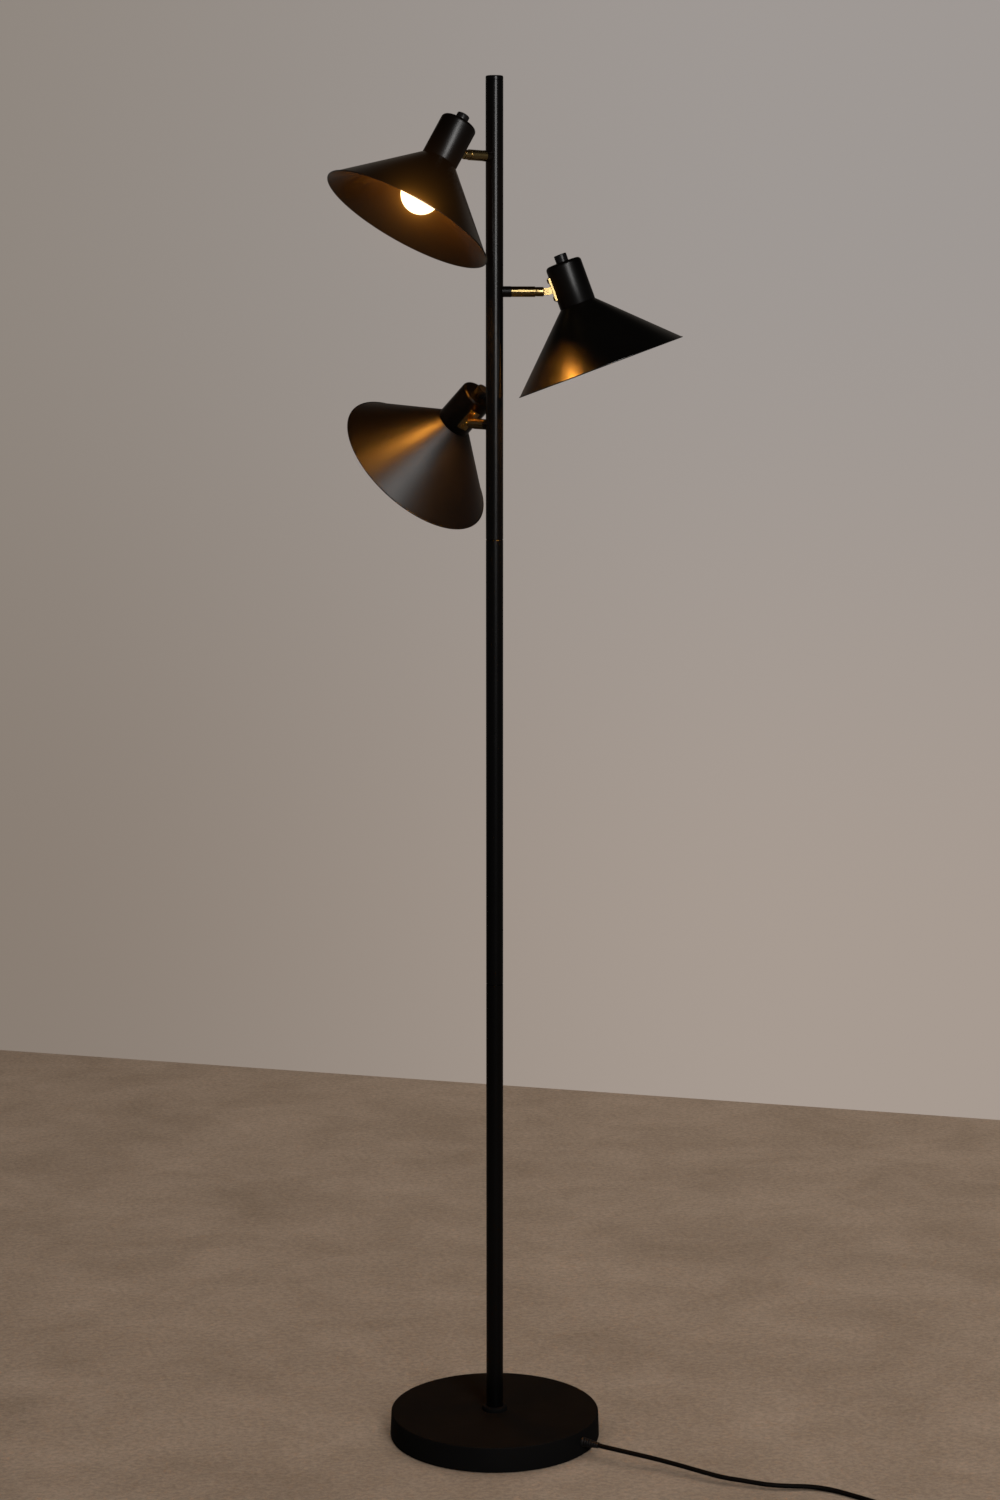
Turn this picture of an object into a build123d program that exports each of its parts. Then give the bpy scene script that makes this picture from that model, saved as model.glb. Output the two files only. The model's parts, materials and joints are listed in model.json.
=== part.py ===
"""Floor lamp: a weighted round base, a three-piece pole and three tilting conical heads.

Millimetres, +Z up. The origin is the middle of the floor pad's underside, on the pole's axis.
Seen from the front, +X is to the right and -Y comes towards the viewer. The heads stand as the
photograph shows them: that is the rest pose of every joint.
"""

import os
from math import cos, pi, radians, sin, sqrt, tan

from build123d import *

os.makedirs("parts", exist_ok=True)

# Fits
RUNNING_FIT = 0.05  # radial room of a pin or shaft that turns
SEAT_FIT = 0.02  # radial room of pieces that are fixed together
LOOSE_FIT = 0.3  # room around a piece that slides or hangs free

# Base
BASE_DIAMETER = 251.0  # across the cover's lower edge
BASE_HEIGHT = 30.5
BASE_DRAFT = 1.0  # taken off the radius towards the top
BASE_ROUND = 1.6  # top edge of the cover
COVER_WALL = 1.5
COVER_LIFT = 1.0  # lower edge of the cover above the floor
PAD_THICKNESS = 3.0
WEIGHT_THICKNESS = 16.0
WEIGHT_BORE = 60.0  # pocket for the nut and the lead's bend
LEAD_SLOT = 16.0  # gap in the weight that lets the lead through

# Foot of the pole
NIPPLE_DIAMETER = 10.0
NIPPLE_BORE = 7.0
NIPPLE_RISE = 28.0  # length above the cover
WASHER_DIAMETER = 30.0
WASHER_THICKNESS = 1.5
NUT_WIDTH = 17.0  # across flats
NUT_THICKNESS = 5.0
NIPPLE_STUB = 0.5  # nipple showing below the nut
FOOT_PLUG_LENGTH = 32.0
FOOT_COLLAR_DIAMETER = 30.0
FOOT_COLLAR_HEIGHT = 5.5
FOOT_COLLAR_ROUND = 1.8

# Pole
OVERALL_HEIGHT = 1600.0
POLE_DIAMETER = 20.0
POLE_WALL = 1.2
POLE_SECTIONS = ("lower", "middle", "upper")
SEAM_BEVEL = 0.6
COUPLING_LENGTH = 60.0
COUPLING_BORE = 8.5
TOP_CAP_HEIGHT = 4.5
TOP_CAP_ROUND = 1.6
TOP_CAP_STEM = 14.0

# Arms
ARM_TOP_DROP = 89.7  # axis of the highest arm below the lamp's top
ARM_PITCH = 151.0  # drop from one arm to the next
ARM_DIAMETER = 12.0
ARM_START = 18.8  # brass begins, from the pole's axis
ARM_END = 56.4
ARM_BEVEL = 1.2
WIRE_BORE = 5.0
SPIGOT_DIAMETER = 8.0
SPIGOT_PROUD = 1.8  # spigot's end inside the pole's wall
COLLAR_DIAMETER = 12.4

# Swivel, knuckle and pin
PIVOT_REACH = 60.7  # tilt pin from the pole's axis
SWIVEL_DIAMETER = 8.9
SWIVEL_LENGTH = 14.0
KNUCKLE_RADIUS = 3.9
TONGUE_THICKNESS = 4.0
EAR_THICKNESS = 2.2
EAR_GAP = 0.1  # room each side of the tongue
PIN_DIAMETER = 3.0
PIN_HEAD = 0.6  # each end stands out of its ear
BRACKET_LENGTH = 28.6
BRACKET_WIDTH = 12.0
BRACKET_THICKNESS = 1.5  # at the middle, over the cap
BRACKET_ROUND = 1.2
SCREW_SPACING = 21.0
SCREW_DIAMETER = 3.0
SCREW_LENGTH = 7.8
SCREW_HEAD_DIAMETER = 5.0
SCREW_HEAD_HEIGHT = 1.6

# Head: heights below run from the middle of the cap, up along the head's own axis
HEAD_REACH = 27.4  # tilt pin to the head's axis
CAP_DIAMETER = 42.0
CAP_LENGTH = 50.5
CAP_WALL = 1.2
CAP_ROUND = 4.5
SHADE_DIAMETER = 199.0
SHADE_HEIGHT = 76.5  # cap's lower edge to the rim
SHADE_WALL = 1.0
SHADE_HOLE = 28.0
RIM_BEAD = 1.4  # rolled edge
HOLDER_DIAMETER = 27.0
MOUTH_GAP = 0.8886  # mouth of the lampholder above the bulb's glass
HOLDER_BORE = 15.0
HOLDER_SHOULDER = 2.5
RING_DIAMETER = 36.0
RING_HEIGHT = 5.0
BULB_DIAMETER = 45.0
BULB_DEPTH = 68.0  # middle of the globe below the cap's middle
BULB_NECK = 16.0
BULB_BLEND = 12.0  # hollow curve between neck and globe
BULB_STRAIGHT = 1.0  # glass neck above that curve
BULB_WALL = 1.0
BULB_BASE_DIAMETER = 14.0
BULB_BASE_LENGTH = 26.0
BULB_CONTACT_DIAMETER = 6.0
BULB_CONTACT_LENGTH = 3.0
BULB_SEAT = 0.3  # contact above the holder's floor
SWITCH_DIAMETER = 26.0
SWITCH_HEIGHT = 11.0
BUTTON_DIAMETER = 14.6
BUTTON_RISE = 9.2
BUTTON_ROUND = 0.8
BUTTON_FLANGE = 1.5  # flange that keeps the button in, beyond its radius
BUTTON_FLANGE_THICKNESS = 2.0
BUTTON_TRAVEL = 3.0
BUTTON_END_ROOM = 0.7  # left under the flange when pressed

# Heads in the photographed pose, in degrees: bearing of the arm about the pole, roll of the head
# about its arm, and tilt of the head out from hanging straight down
HEADS = (
    ("upper", 232.0, 14.0, 28.3),
    ("middle", 2.3, 2.4, 20.3),
    ("lower", 119.3, -24.5, 42.3),
)

# Mains lead
CORD_DIAMETER = 5.5
CORD_HEIGHT = 17.0  # exit above the floor
CORD_BEARING = -34.0
RELIEF_LENGTH = 22.0
RELIEF_DIAMETER = 11.0
RELIEF_TIP = 7.4
RELIEF_COLLAR = 3.0
RELIEF_NECK = 8.6  # through the cover's wall
LEAD_LOW = 6.5  # where the lead turns up into the nipple
LEAD_TOP_ROOM = 3.0  # lead's end above the highest arm
CORD_LEAD_OUT = 20.0  # straight run out of the strain relief
CORD_ROUTE = (
    (166.0, -104.4, 14.8),
    (204.5, -121.6, 11.6),
    (242.5, -145.0, 9.0),
    (263.5, -156.8, 7.6),
    (289.5, -164.4, 6.4),
    (314.5, -173.2, 5.4),
    (338.0, -174.6, 4.6),
    (361.5, -173.4, 3.8),
    (384.5, -180.4, 3.1),
    (403.0, -193.4, 2.8),
    (421.0, -208.0, 2.8),
    (438.0, -224.0, 3.4),
)

# Put-away coil of the lead
COIL_CENTRE = (425.0, -292.0)
COIL_RADIUS = 44.5  # where the lead joins the outermost turn
COIL_BEARING = 20.0  # direction from the coil's middle to that place
COIL_PITCH = 7.0  # from turn to turn and from layer to layer
COIL_HALF_TURNS_IN = 6
COIL_HALF_TURNS_OUT = 7
COIL_LEAD_IN = 26.0  # straight run into the coil
COIL_TAIL = 34.0  # run from the coil down to the plug
TIE_WIDTH = 9.0
TIE_THICKNESS = 1.2
TIE_ROOM = 0.4
PLUG_LENGTH = 38.0
PLUG_WIDTH = 30.0
PLUG_THICKNESS = 14.0
PLUG_NECK = 9.0  # across the plug's narrow end
PLUG_ROUND = 3.0
PLUG_PIN_DIAMETER = 4.0
PLUG_PIN_LENGTH = 19.0
PLUG_PIN_SPACING = 18.6

# Places worked out from the sizes above
POLE_RADIUS = POLE_DIAMETER / 2
POLE_BORE = POLE_RADIUS - POLE_WALL
POLE_TOP = OVERALL_HEIGHT - TOP_CAP_HEIGHT
ARM_TOP_HEIGHT = OVERALL_HEIGHT - ARM_TOP_DROP
SECTION_LENGTH = (OVERALL_HEIGHT - BASE_HEIGHT) / len(POLE_SECTIONS)
SEAMS = [BASE_HEIGHT + SECTION_LENGTH * k for k in range(1, len(POLE_SECTIONS))]
COVER_UNDERSIDE = BASE_HEIGHT - COVER_WALL
NIPPLE_FOOT = COVER_UNDERSIDE - WASHER_THICKNESS - NUT_THICKNESS - NIPPLE_STUB
ARM_RADIUS = ARM_DIAMETER / 2
CAP_RADIUS = CAP_DIAMETER / 2
CAP_TOP = CAP_LENGTH / 2
CAP_ROOF = CAP_TOP - CAP_WALL
SHADE_TOP = -CAP_TOP
SHADE_RIM = SHADE_TOP - SHADE_HEIGHT
BRACKET_FACE = HEAD_REACH - CAP_RADIUS - BRACKET_THICKNESS
BULB_REACH = BULB_DIAMETER / 2 + BULB_BLEND  # middle of the globe to the middle of the blend
BULB_RISE = sqrt(BULB_REACH**2 - (BULB_NECK / 2 + BULB_BLEND) ** 2) + BULB_STRAIGHT
BULB_NECK_TOP = BULB_RISE - BULB_DEPTH
HOLDER_MOUTH = BULB_NECK_TOP + MOUTH_GAP
UP = Vector(0, 0, 1)


class Head:
    """Axes and drawing planes of one head: its arm, its knuckle and the head itself."""

    def __init__(self, name, number, bearing, roll, tilt):
        self.name = name
        self.height = ARM_TOP_HEIGHT - number * ARM_PITCH
        root = Vector(0, 0, self.height)
        along = Vector(cos(radians(bearing)), sin(radians(bearing)), 0)
        upright = UP.rotate(Axis((0, 0, 0), along), -roll)
        pin = along.cross(upright)
        outward = along.rotate(Axis((0, 0, 0), pin), tilt)
        lift = upright.rotate(Axis((0, 0, 0), pin), tilt)
        pivot = root + along * PIVOT_REACH
        middle = pivot + outward * HEAD_REACH
        self.arm_section = Plane(origin=root, x_dir=along, z_dir=along.cross(UP))
        self.arm_axis = Axis(root, along)
        self.arm_face = Plane(origin=root, z_dir=along)
        self.tongue_side = Plane(origin=pivot, x_dir=along, z_dir=pin)
        self.ear_side = Plane(origin=pivot, x_dir=outward, z_dir=pin)
        self.bracket_face = Plane(origin=pivot + outward * BRACKET_FACE, x_dir=pin, z_dir=outward)
        self.section = Plane(origin=middle, x_dir=outward, z_dir=pin)
        self.axis = Axis(middle, lift)
        self.across = Plane(origin=middle, x_dir=outward, z_dir=lift)
        self.joints = (pivot, along * -1, pin, lift * -1)


def save(piece, name):
    """Labels a finished piece and writes it as its own file."""
    piece.part.label = name
    export_step(piece.part, f"parts/{name}.step")


def outline(section, points, rounds=()):
    """A closed outline on a section plane, with the named corners rounded."""
    with BuildSketch(section) as shape:
        with BuildLine():
            Polyline(*points, close=True)
        make_face()
        for corner, radius in rounds:
            fillet(shape.vertices().sort_by_distance(corner)[0], radius)
    return shape.sketch


def block(section, near, far, low, high):
    """A rectangle on a section plane between two distances and two heights."""
    return outline(section, [(near, low), (far, low), (far, high), (near, high)])


# Base: cover, weight and pad
lower_radius = BASE_DIAMETER / 2
upper_radius = lower_radius - BASE_DRAFT
exit_way = Vector(cos(radians(CORD_BEARING)), sin(radians(CORD_BEARING)), 0)
exit_section = Plane(origin=(0, 0, CORD_HEIGHT), x_dir=exit_way, z_dir=exit_way.cross(UP))
exit_axis = Axis((0, 0, CORD_HEIGHT), exit_way)
exit_share = (CORD_HEIGHT - COVER_LIFT) / (BASE_HEIGHT - COVER_LIFT)
exit_wall = lower_radius - BASE_DRAFT * exit_share

with BuildPart() as base_cover:
    hole = NIPPLE_DIAMETER / 2 + SEAT_FIT
    shell = [
        (hole, BASE_HEIGHT),
        (upper_radius, BASE_HEIGHT),
        (lower_radius, COVER_LIFT),
        (lower_radius - COVER_WALL, COVER_LIFT),
        (upper_radius - COVER_WALL, COVER_UNDERSIDE),
        (hole, COVER_UNDERSIDE),
    ]
    revolve(outline(Plane.XZ, shell, [((upper_radius, BASE_HEIGHT), BASE_ROUND)]), axis=Axis.Z)
    with BuildSketch(Plane(origin=(0, 0, CORD_HEIGHT), z_dir=exit_way)):
        Circle(RELIEF_NECK / 2 + LOOSE_FIT / 2)
    extrude(amount=BASE_DIAMETER, mode=Mode.SUBTRACT)
save(base_cover, "base_cover")

with BuildPart() as base_weight:
    rim = upper_radius - COVER_WALL - LOOSE_FIT
    top = PAD_THICKNESS + WEIGHT_THICKNESS
    revolve(block(Plane.XZ, WEIGHT_BORE / 2, rim, PAD_THICKNESS, top), axis=Axis.Z)
    with BuildSketch(exit_section.offset(-LEAD_SLOT / 2)):
        with Locations((BASE_DIAMETER / 2, 0)):
            Rectangle(BASE_DIAMETER, 4 * WEIGHT_THICKNESS)
    extrude(amount=LEAD_SLOT, mode=Mode.SUBTRACT)
save(base_weight, "base_weight")

with BuildPart() as floor_pad:
    with BuildSketch():
        Circle(lower_radius - COVER_WALL - LOOSE_FIT)
    extrude(amount=PAD_THICKNESS)
save(floor_pad, "floor_pad")

# Foot of the pole: nipple, washer, nut, plug and collar
with BuildPart() as base_nipple:
    with BuildSketch(Plane.XY.offset(NIPPLE_FOOT)):
        Circle(NIPPLE_DIAMETER / 2)
        Circle(NIPPLE_BORE / 2, mode=Mode.SUBTRACT)
    extrude(amount=BASE_HEIGHT + NIPPLE_RISE - NIPPLE_FOOT)
save(base_nipple, "base_nipple")

with BuildPart() as base_washer:
    with BuildSketch(Plane.XY.offset(COVER_UNDERSIDE - WASHER_THICKNESS)):
        Circle(WASHER_DIAMETER / 2)
        Circle(NIPPLE_DIAMETER / 2 + SEAT_FIT, mode=Mode.SUBTRACT)
    extrude(amount=WASHER_THICKNESS)
save(base_washer, "base_washer")

with BuildPart() as base_nut:
    with BuildSketch(Plane.XY.offset(COVER_UNDERSIDE - WASHER_THICKNESS - NUT_THICKNESS)):
        RegularPolygon(NUT_WIDTH / 2, 6, major_radius=False)
        Circle(NIPPLE_DIAMETER / 2 + SEAT_FIT, mode=Mode.SUBTRACT)
    extrude(amount=NUT_THICKNESS)
save(base_nut, "base_nut")

with BuildPart() as pole_foot_plug:
    with BuildSketch(Plane.XY.offset(BASE_HEIGHT)):
        Circle(POLE_BORE - SEAT_FIT)
        Circle(NIPPLE_DIAMETER / 2 + SEAT_FIT, mode=Mode.SUBTRACT)
    extrude(amount=FOOT_PLUG_LENGTH)
save(pole_foot_plug, "pole_foot_plug")

with BuildPart() as foot_collar:
    outside = FOOT_COLLAR_DIAMETER / 2
    collar_top = BASE_HEIGHT + FOOT_COLLAR_HEIGHT
    ring = [
        (POLE_RADIUS + SEAT_FIT, BASE_HEIGHT),
        (outside, BASE_HEIGHT),
        (outside, collar_top),
        (POLE_RADIUS + SEAT_FIT, collar_top),
    ]
    revolve(outline(Plane.XZ, ring, [((outside, collar_top), FOOT_COLLAR_ROUND)]), axis=Axis.Z)
save(foot_collar, "foot_collar")

# Pole: three tubes, two couplings inside the seams and a top cap
heads = [Head(name, number, *angles) for number, (name, *angles) in enumerate(HEADS)]
section_ends = [BASE_HEIGHT, *SEAMS, POLE_TOP]
for number, name in enumerate(POLE_SECTIONS):
    low, high = section_ends[number], section_ends[number + 1]
    with BuildPart() as pole_section:
        tube = [
            (POLE_BORE, low),
            (POLE_RADIUS - SEAM_BEVEL, low),
            (POLE_RADIUS, low + SEAM_BEVEL),
            (POLE_RADIUS, high - SEAM_BEVEL),
            (POLE_RADIUS - SEAM_BEVEL, high),
            (POLE_BORE, high),
        ]
        revolve(outline(Plane.XZ, tube), axis=Axis.Z)
        for head in heads:
            if low < head.height < high:
                with BuildSketch(head.arm_face):
                    Circle(SPIGOT_DIAMETER / 2 + SEAT_FIT)
                extrude(amount=POLE_DIAMETER, mode=Mode.SUBTRACT)
    save(pole_section, f"pole_{name}")

for seam, name in zip(SEAMS, ("lower", "upper")):
    with BuildPart() as pole_coupling:
        with BuildSketch(Plane.XY.offset(seam - COUPLING_LENGTH / 2)):
            Circle(POLE_BORE - SEAT_FIT)
            Circle(COUPLING_BORE / 2, mode=Mode.SUBTRACT)
        extrude(amount=COUPLING_LENGTH)
    save(pole_coupling, f"pole_coupling_{name}")

with BuildPart() as pole_top_cap:
    plug = [
        (0, POLE_TOP - TOP_CAP_STEM),
        (POLE_BORE - SEAT_FIT, POLE_TOP - TOP_CAP_STEM),
        (POLE_BORE - SEAT_FIT, POLE_TOP),
        (POLE_RADIUS, POLE_TOP),
        (POLE_RADIUS, OVERALL_HEIGHT),
        (0, OVERALL_HEIGHT),
    ]
    revolve(outline(Plane.XZ, plug, [((POLE_RADIUS, OVERALL_HEIGHT), TOP_CAP_ROUND)]), axis=Axis.Z)
save(pole_top_cap, "pole_top_cap")

# Collars between the pole and the arms, one node of three rings
with BuildPart() as arm_collars:
    for head in heads:
        ring = block(
            head.arm_section, POLE_BORE, ARM_START, SPIGOT_DIAMETER / 2 + SEAT_FIT, COLLAR_DIAMETER / 2
        )
        revolve(ring, axis=head.arm_axis)
    with BuildSketch():
        Circle(POLE_RADIUS + SEAT_FIT)
    extrude(amount=OVERALL_HEIGHT, mode=Mode.SUBTRACT)
save(arm_collars, "arm_collars")


def make_arm(head):
    """Brass tube with a spigot through the pole's wall and a bore for the swivel."""
    spigot_end = POLE_BORE - SPIGOT_PROUD
    bore = SWIVEL_DIAMETER / 2 + RUNNING_FIT
    floor = ARM_END - SWIVEL_LENGTH - LOOSE_FIT
    profile = [
        (spigot_end, WIRE_BORE / 2),
        (spigot_end, SPIGOT_DIAMETER / 2),
        (ARM_START, SPIGOT_DIAMETER / 2),
        (ARM_START, ARM_RADIUS),
        (ARM_END - ARM_BEVEL, ARM_RADIUS),
        (ARM_END, ARM_RADIUS - ARM_BEVEL),
        (ARM_END, bore),
        (floor, bore),
        (floor, WIRE_BORE / 2),
    ]
    with BuildPart() as arm:
        revolve(outline(head.arm_section, profile), axis=head.arm_axis)
    save(arm, f"arm_{head.name}")


def make_swivel(head):
    """Shaft that turns in the arm's end, with the flat tongue of the tilt hinge."""
    neck = PIVOT_REACH - ARM_END
    with BuildPart() as swivel:
        shaft = block(head.arm_section, ARM_END - SWIVEL_LENGTH, ARM_END, 0, SWIVEL_DIAMETER / 2)
        revolve(shaft, axis=head.arm_axis)
        with BuildSketch(head.tongue_side):
            Circle(KNUCKLE_RADIUS)
            with Locations((-neck / 2, 0)):
                Rectangle(neck, 2 * KNUCKLE_RADIUS)
        extrude(amount=TONGUE_THICKNESS / 2, both=True)
        with BuildSketch(head.tongue_side):
            Circle(PIN_DIAMETER / 2 + RUNNING_FIT)
        extrude(amount=TONGUE_THICKNESS, both=True, mode=Mode.SUBTRACT)
    save(swivel, f"arm_swivel_{head.name}")


def make_bracket(head):
    """Plate on the side of the cap, with two ears that straddle the tongue."""
    ear_middle = TONGUE_THICKNESS / 2 + EAR_GAP + EAR_THICKNESS / 2
    plate_back = BRACKET_FACE + 2 * BRACKET_THICKNESS
    half = BRACKET_LENGTH / 2
    with BuildPart() as bracket:
        corners = [(BRACKET_FACE, half), (BRACKET_FACE, -half)]
        plate = [*corners, (plate_back, -half), (plate_back, half)]
        extrude(outline(head.ear_side, plate), amount=BRACKET_WIDTH / 2, both=True)
        upright_edges = bracket.edges().filter_by(Axis((0, 0, 0), head.bracket_face.z_dir))
        fillet(upright_edges, BRACKET_ROUND)
        with BuildSketch(head.across):
            Circle(CAP_RADIUS + SEAT_FIT)
        extrude(amount=BRACKET_LENGTH, both=True, mode=Mode.SUBTRACT)
        for side in (-1, 1):
            with BuildSketch(head.ear_side.offset(side * ear_middle)):
                Circle(KNUCKLE_RADIUS)
                with Locations((BRACKET_FACE / 2, 0)):
                    Rectangle(BRACKET_FACE, 2 * KNUCKLE_RADIUS)
            extrude(amount=EAR_THICKNESS / 2, both=True)
        with BuildSketch(head.ear_side):
            Circle(PIN_DIAMETER / 2 + SEAT_FIT)
        extrude(amount=BRACKET_WIDTH, both=True, mode=Mode.SUBTRACT)
        with BuildSketch(head.bracket_face):
            with GridLocations(0, SCREW_SPACING, 1, 2):
                Circle(SCREW_DIAMETER / 2 + SEAT_FIT)
        extrude(amount=SCREW_LENGTH, mode=Mode.SUBTRACT)
    save(bracket, f"head_bracket_{head.name}")


def make_pin(head):
    """Rivet through the ears and the tongue."""
    half = TONGUE_THICKNESS / 2 + EAR_GAP + EAR_THICKNESS + PIN_HEAD
    with BuildPart() as pin:
        with BuildSketch(head.ear_side):
            Circle(PIN_DIAMETER / 2)
        extrude(amount=half, both=True)
        chamfer(pin.edges().filter_by(GeomType.CIRCLE), PIN_HEAD / 2)
    save(pin, f"hinge_pin_{head.name}")


def make_screws(head):
    """Two round-headed screws that hold the bracket to the cap."""
    with BuildPart() as screws:
        with BuildSketch(head.bracket_face):
            with GridLocations(0, SCREW_SPACING, 1, 2):
                Circle(SCREW_DIAMETER / 2)
        extrude(amount=SCREW_LENGTH)
        with BuildSketch(head.bracket_face):
            with GridLocations(0, SCREW_SPACING, 1, 2):
                Circle(SCREW_HEAD_DIAMETER / 2)
        extrude(amount=-SCREW_HEAD_HEIGHT)
        inward = Axis(head.bracket_face.origin, head.bracket_face.z_dir)
        fillet(screws.edges().group_by(inward)[0], SCREW_HEAD_HEIGHT / 2)
    save(screws, f"bracket_screws_{head.name}")


def make_socket_cap(head):
    """Black cup over the lampholder, with the button's hole in its roof."""
    hole = BUTTON_DIAMETER / 2 + LOOSE_FIT
    inside = CAP_RADIUS - CAP_WALL
    shell = [
        (hole, CAP_TOP),
        (CAP_RADIUS, CAP_TOP),
        (CAP_RADIUS, -CAP_TOP),
        (inside, -CAP_TOP),
        (inside, CAP_ROOF),
        (hole, CAP_ROOF),
    ]
    rounds = [((CAP_RADIUS, CAP_TOP), CAP_ROUND), ((inside, CAP_ROOF), CAP_ROUND - CAP_WALL)]
    with BuildPart() as cap:
        revolve(outline(head.section, shell, rounds), axis=head.axis)
        with BuildSketch(head.bracket_face):
            with GridLocations(0, SCREW_SPACING, 1, 2):
                Circle(SCREW_DIAMETER / 2 + SEAT_FIT)
        extrude(amount=SCREW_LENGTH, mode=Mode.SUBTRACT)
    save(cap, f"socket_cap_{head.name}")


def make_shade(head):
    """Spun cone with a flat top, a hole for the lampholder and a rolled rim."""
    rim = SHADE_DIAMETER / 2 - RIM_BEAD / 2
    rim_height = SHADE_RIM + RIM_BEAD / 2
    slope = (rim - CAP_RADIUS) / (SHADE_TOP - rim_height)
    skin = SHADE_WALL * sqrt(1 + slope**2)
    wall = [
        (SHADE_HOLE / 2, SHADE_TOP),
        (CAP_RADIUS, SHADE_TOP),
        (rim, rim_height),
        (rim - skin, rim_height),
        (CAP_RADIUS - skin + slope * SHADE_WALL, SHADE_TOP - SHADE_WALL),
        (SHADE_HOLE / 2, SHADE_TOP - SHADE_WALL),
    ]
    with BuildPart() as shade:
        revolve(outline(head.section, wall), axis=head.axis)
        with BuildSketch(head.section):
            with Locations((rim, rim_height)):
                Circle(RIM_BEAD / 2)
        revolve(axis=head.axis)
    save(shade, f"shade_{head.name}")


def make_lampholder(head):
    """Screw lampholder: its shoulder and the ring below clamp the shade."""
    roof = CAP_ROOF - SWITCH_HEIGHT - LOOSE_FIT
    bore_floor = BULB_NECK_TOP + BULB_BASE_LENGTH + BULB_SEAT
    profile = [
        (0, roof),
        (HOLDER_DIAMETER / 2, roof),
        (HOLDER_DIAMETER / 2, SHADE_TOP + HOLDER_SHOULDER),
        (CAP_RADIUS - CAP_WALL - SEAT_FIT, SHADE_TOP + HOLDER_SHOULDER),
        (CAP_RADIUS - CAP_WALL - SEAT_FIT, SHADE_TOP),
        (HOLDER_DIAMETER / 2, SHADE_TOP),
        (HOLDER_DIAMETER / 2, HOLDER_MOUTH),
        (HOLDER_BORE / 2, HOLDER_MOUTH),
        (HOLDER_BORE / 2, bore_floor),
        (0, bore_floor),
    ]
    with BuildPart() as holder:
        revolve(outline(head.section, profile), axis=head.axis)
    save(holder, f"lampholder_{head.name}")


def make_shade_ring(head):
    """Ring nut that holds the shade against the lampholder's shoulder."""
    top = SHADE_TOP - SHADE_WALL
    inner = HOLDER_DIAMETER / 2 + SEAT_FIT
    with BuildPart() as ring:
        revolve(block(head.section, inner, RING_DIAMETER / 2, top - RING_HEIGHT, top), axis=head.axis)
    save(ring, f"shade_ring_{head.name}")


def globe(head, thinner):
    """Half outline of the bulb's glass, thinned all round by the wall for its inside."""
    radius = BULB_DIAMETER / 2 - thinner
    neck = BULB_NECK / 2 - thinner
    corner = sqrt(radius**2 - neck**2) - BULB_DEPTH
    with BuildSketch(head.section) as shape:
        with Locations((0, -BULB_DEPTH)):
            Circle(radius)
        with Locations((0, BULB_RISE / 2 - BULB_DEPTH)):
            Rectangle(2 * neck, BULB_RISE)
        for side in (-1, 1):
            fillet(shape.vertices().sort_by_distance((side * neck, corner))[0], BULB_BLEND + thinner)
        with Locations((-BULB_DIAMETER, -BULB_DEPTH)):
            Rectangle(2 * BULB_DIAMETER, 4 * BULB_DIAMETER, mode=Mode.SUBTRACT)
    return shape.sketch


def make_bulb(head):
    """Small globe lamp: a hollow glass and its screw base."""
    with BuildPart() as glass:
        revolve(globe(head, 0), axis=head.axis)
        revolve(globe(head, BULB_WALL), axis=head.axis, mode=Mode.SUBTRACT)
    save(glass, f"bulb_glass_{head.name}")
    base_top = BULB_NECK_TOP + BULB_BASE_LENGTH
    shell_top = base_top - BULB_CONTACT_LENGTH
    profile = [
        (0, BULB_NECK_TOP),
        (BULB_BASE_DIAMETER / 2, BULB_NECK_TOP),
        (BULB_BASE_DIAMETER / 2, shell_top),
        (BULB_CONTACT_DIAMETER / 2, shell_top),
        (BULB_CONTACT_DIAMETER / 2, base_top),
        (0, base_top),
    ]
    with BuildPart() as base:
        revolve(outline(head.section, profile), axis=head.axis)
    save(base, f"bulb_base_{head.name}")


def make_switch(head):
    """Push switch under the cap's roof, and the round button that stands out of it."""
    flange = BUTTON_DIAMETER / 2 + BUTTON_FLANGE
    flange_top = CAP_ROOF - LOOSE_FIT
    flange_foot = flange_top - BUTTON_FLANGE_THICKNESS
    pocket_floor = flange_foot - BUTTON_TRAVEL - BUTTON_END_ROOM
    body = [
        (flange + LOOSE_FIT, CAP_ROOF),
        (SWITCH_DIAMETER / 2, CAP_ROOF),
        (SWITCH_DIAMETER / 2, CAP_ROOF - SWITCH_HEIGHT),
        (0, CAP_ROOF - SWITCH_HEIGHT),
        (0, pocket_floor),
        (flange + LOOSE_FIT, pocket_floor),
    ]
    with BuildPart() as switch_body:
        revolve(outline(head.section, body), axis=head.axis)
    save(switch_body, f"switch_body_{head.name}")
    rise = CAP_TOP + BUTTON_RISE
    knob = [
        (0, rise),
        (BUTTON_DIAMETER / 2, rise),
        (BUTTON_DIAMETER / 2, flange_top),
        (flange, flange_top),
        (flange, flange_foot),
        (0, flange_foot),
    ]
    with BuildPart() as button:
        revolve(outline(head.section, knob, [((BUTTON_DIAMETER / 2, rise), BUTTON_ROUND)]), axis=head.axis)
    save(button, f"switch_button_{head.name}")


for head in heads:
    make_arm(head)
    make_swivel(head)
    make_bracket(head)
    make_pin(head)
    make_screws(head)
    make_socket_cap(head)
    make_shade(head)
    make_lampholder(head)
    make_shade_ring(head)
    make_bulb(head)
    make_switch(head)
    for label, vector in zip(("pivot", "swivel axis", "tilt axis", "press axis"), head.joints):
        print(head.name, label, [round(value, 5) for value in vector])

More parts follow.
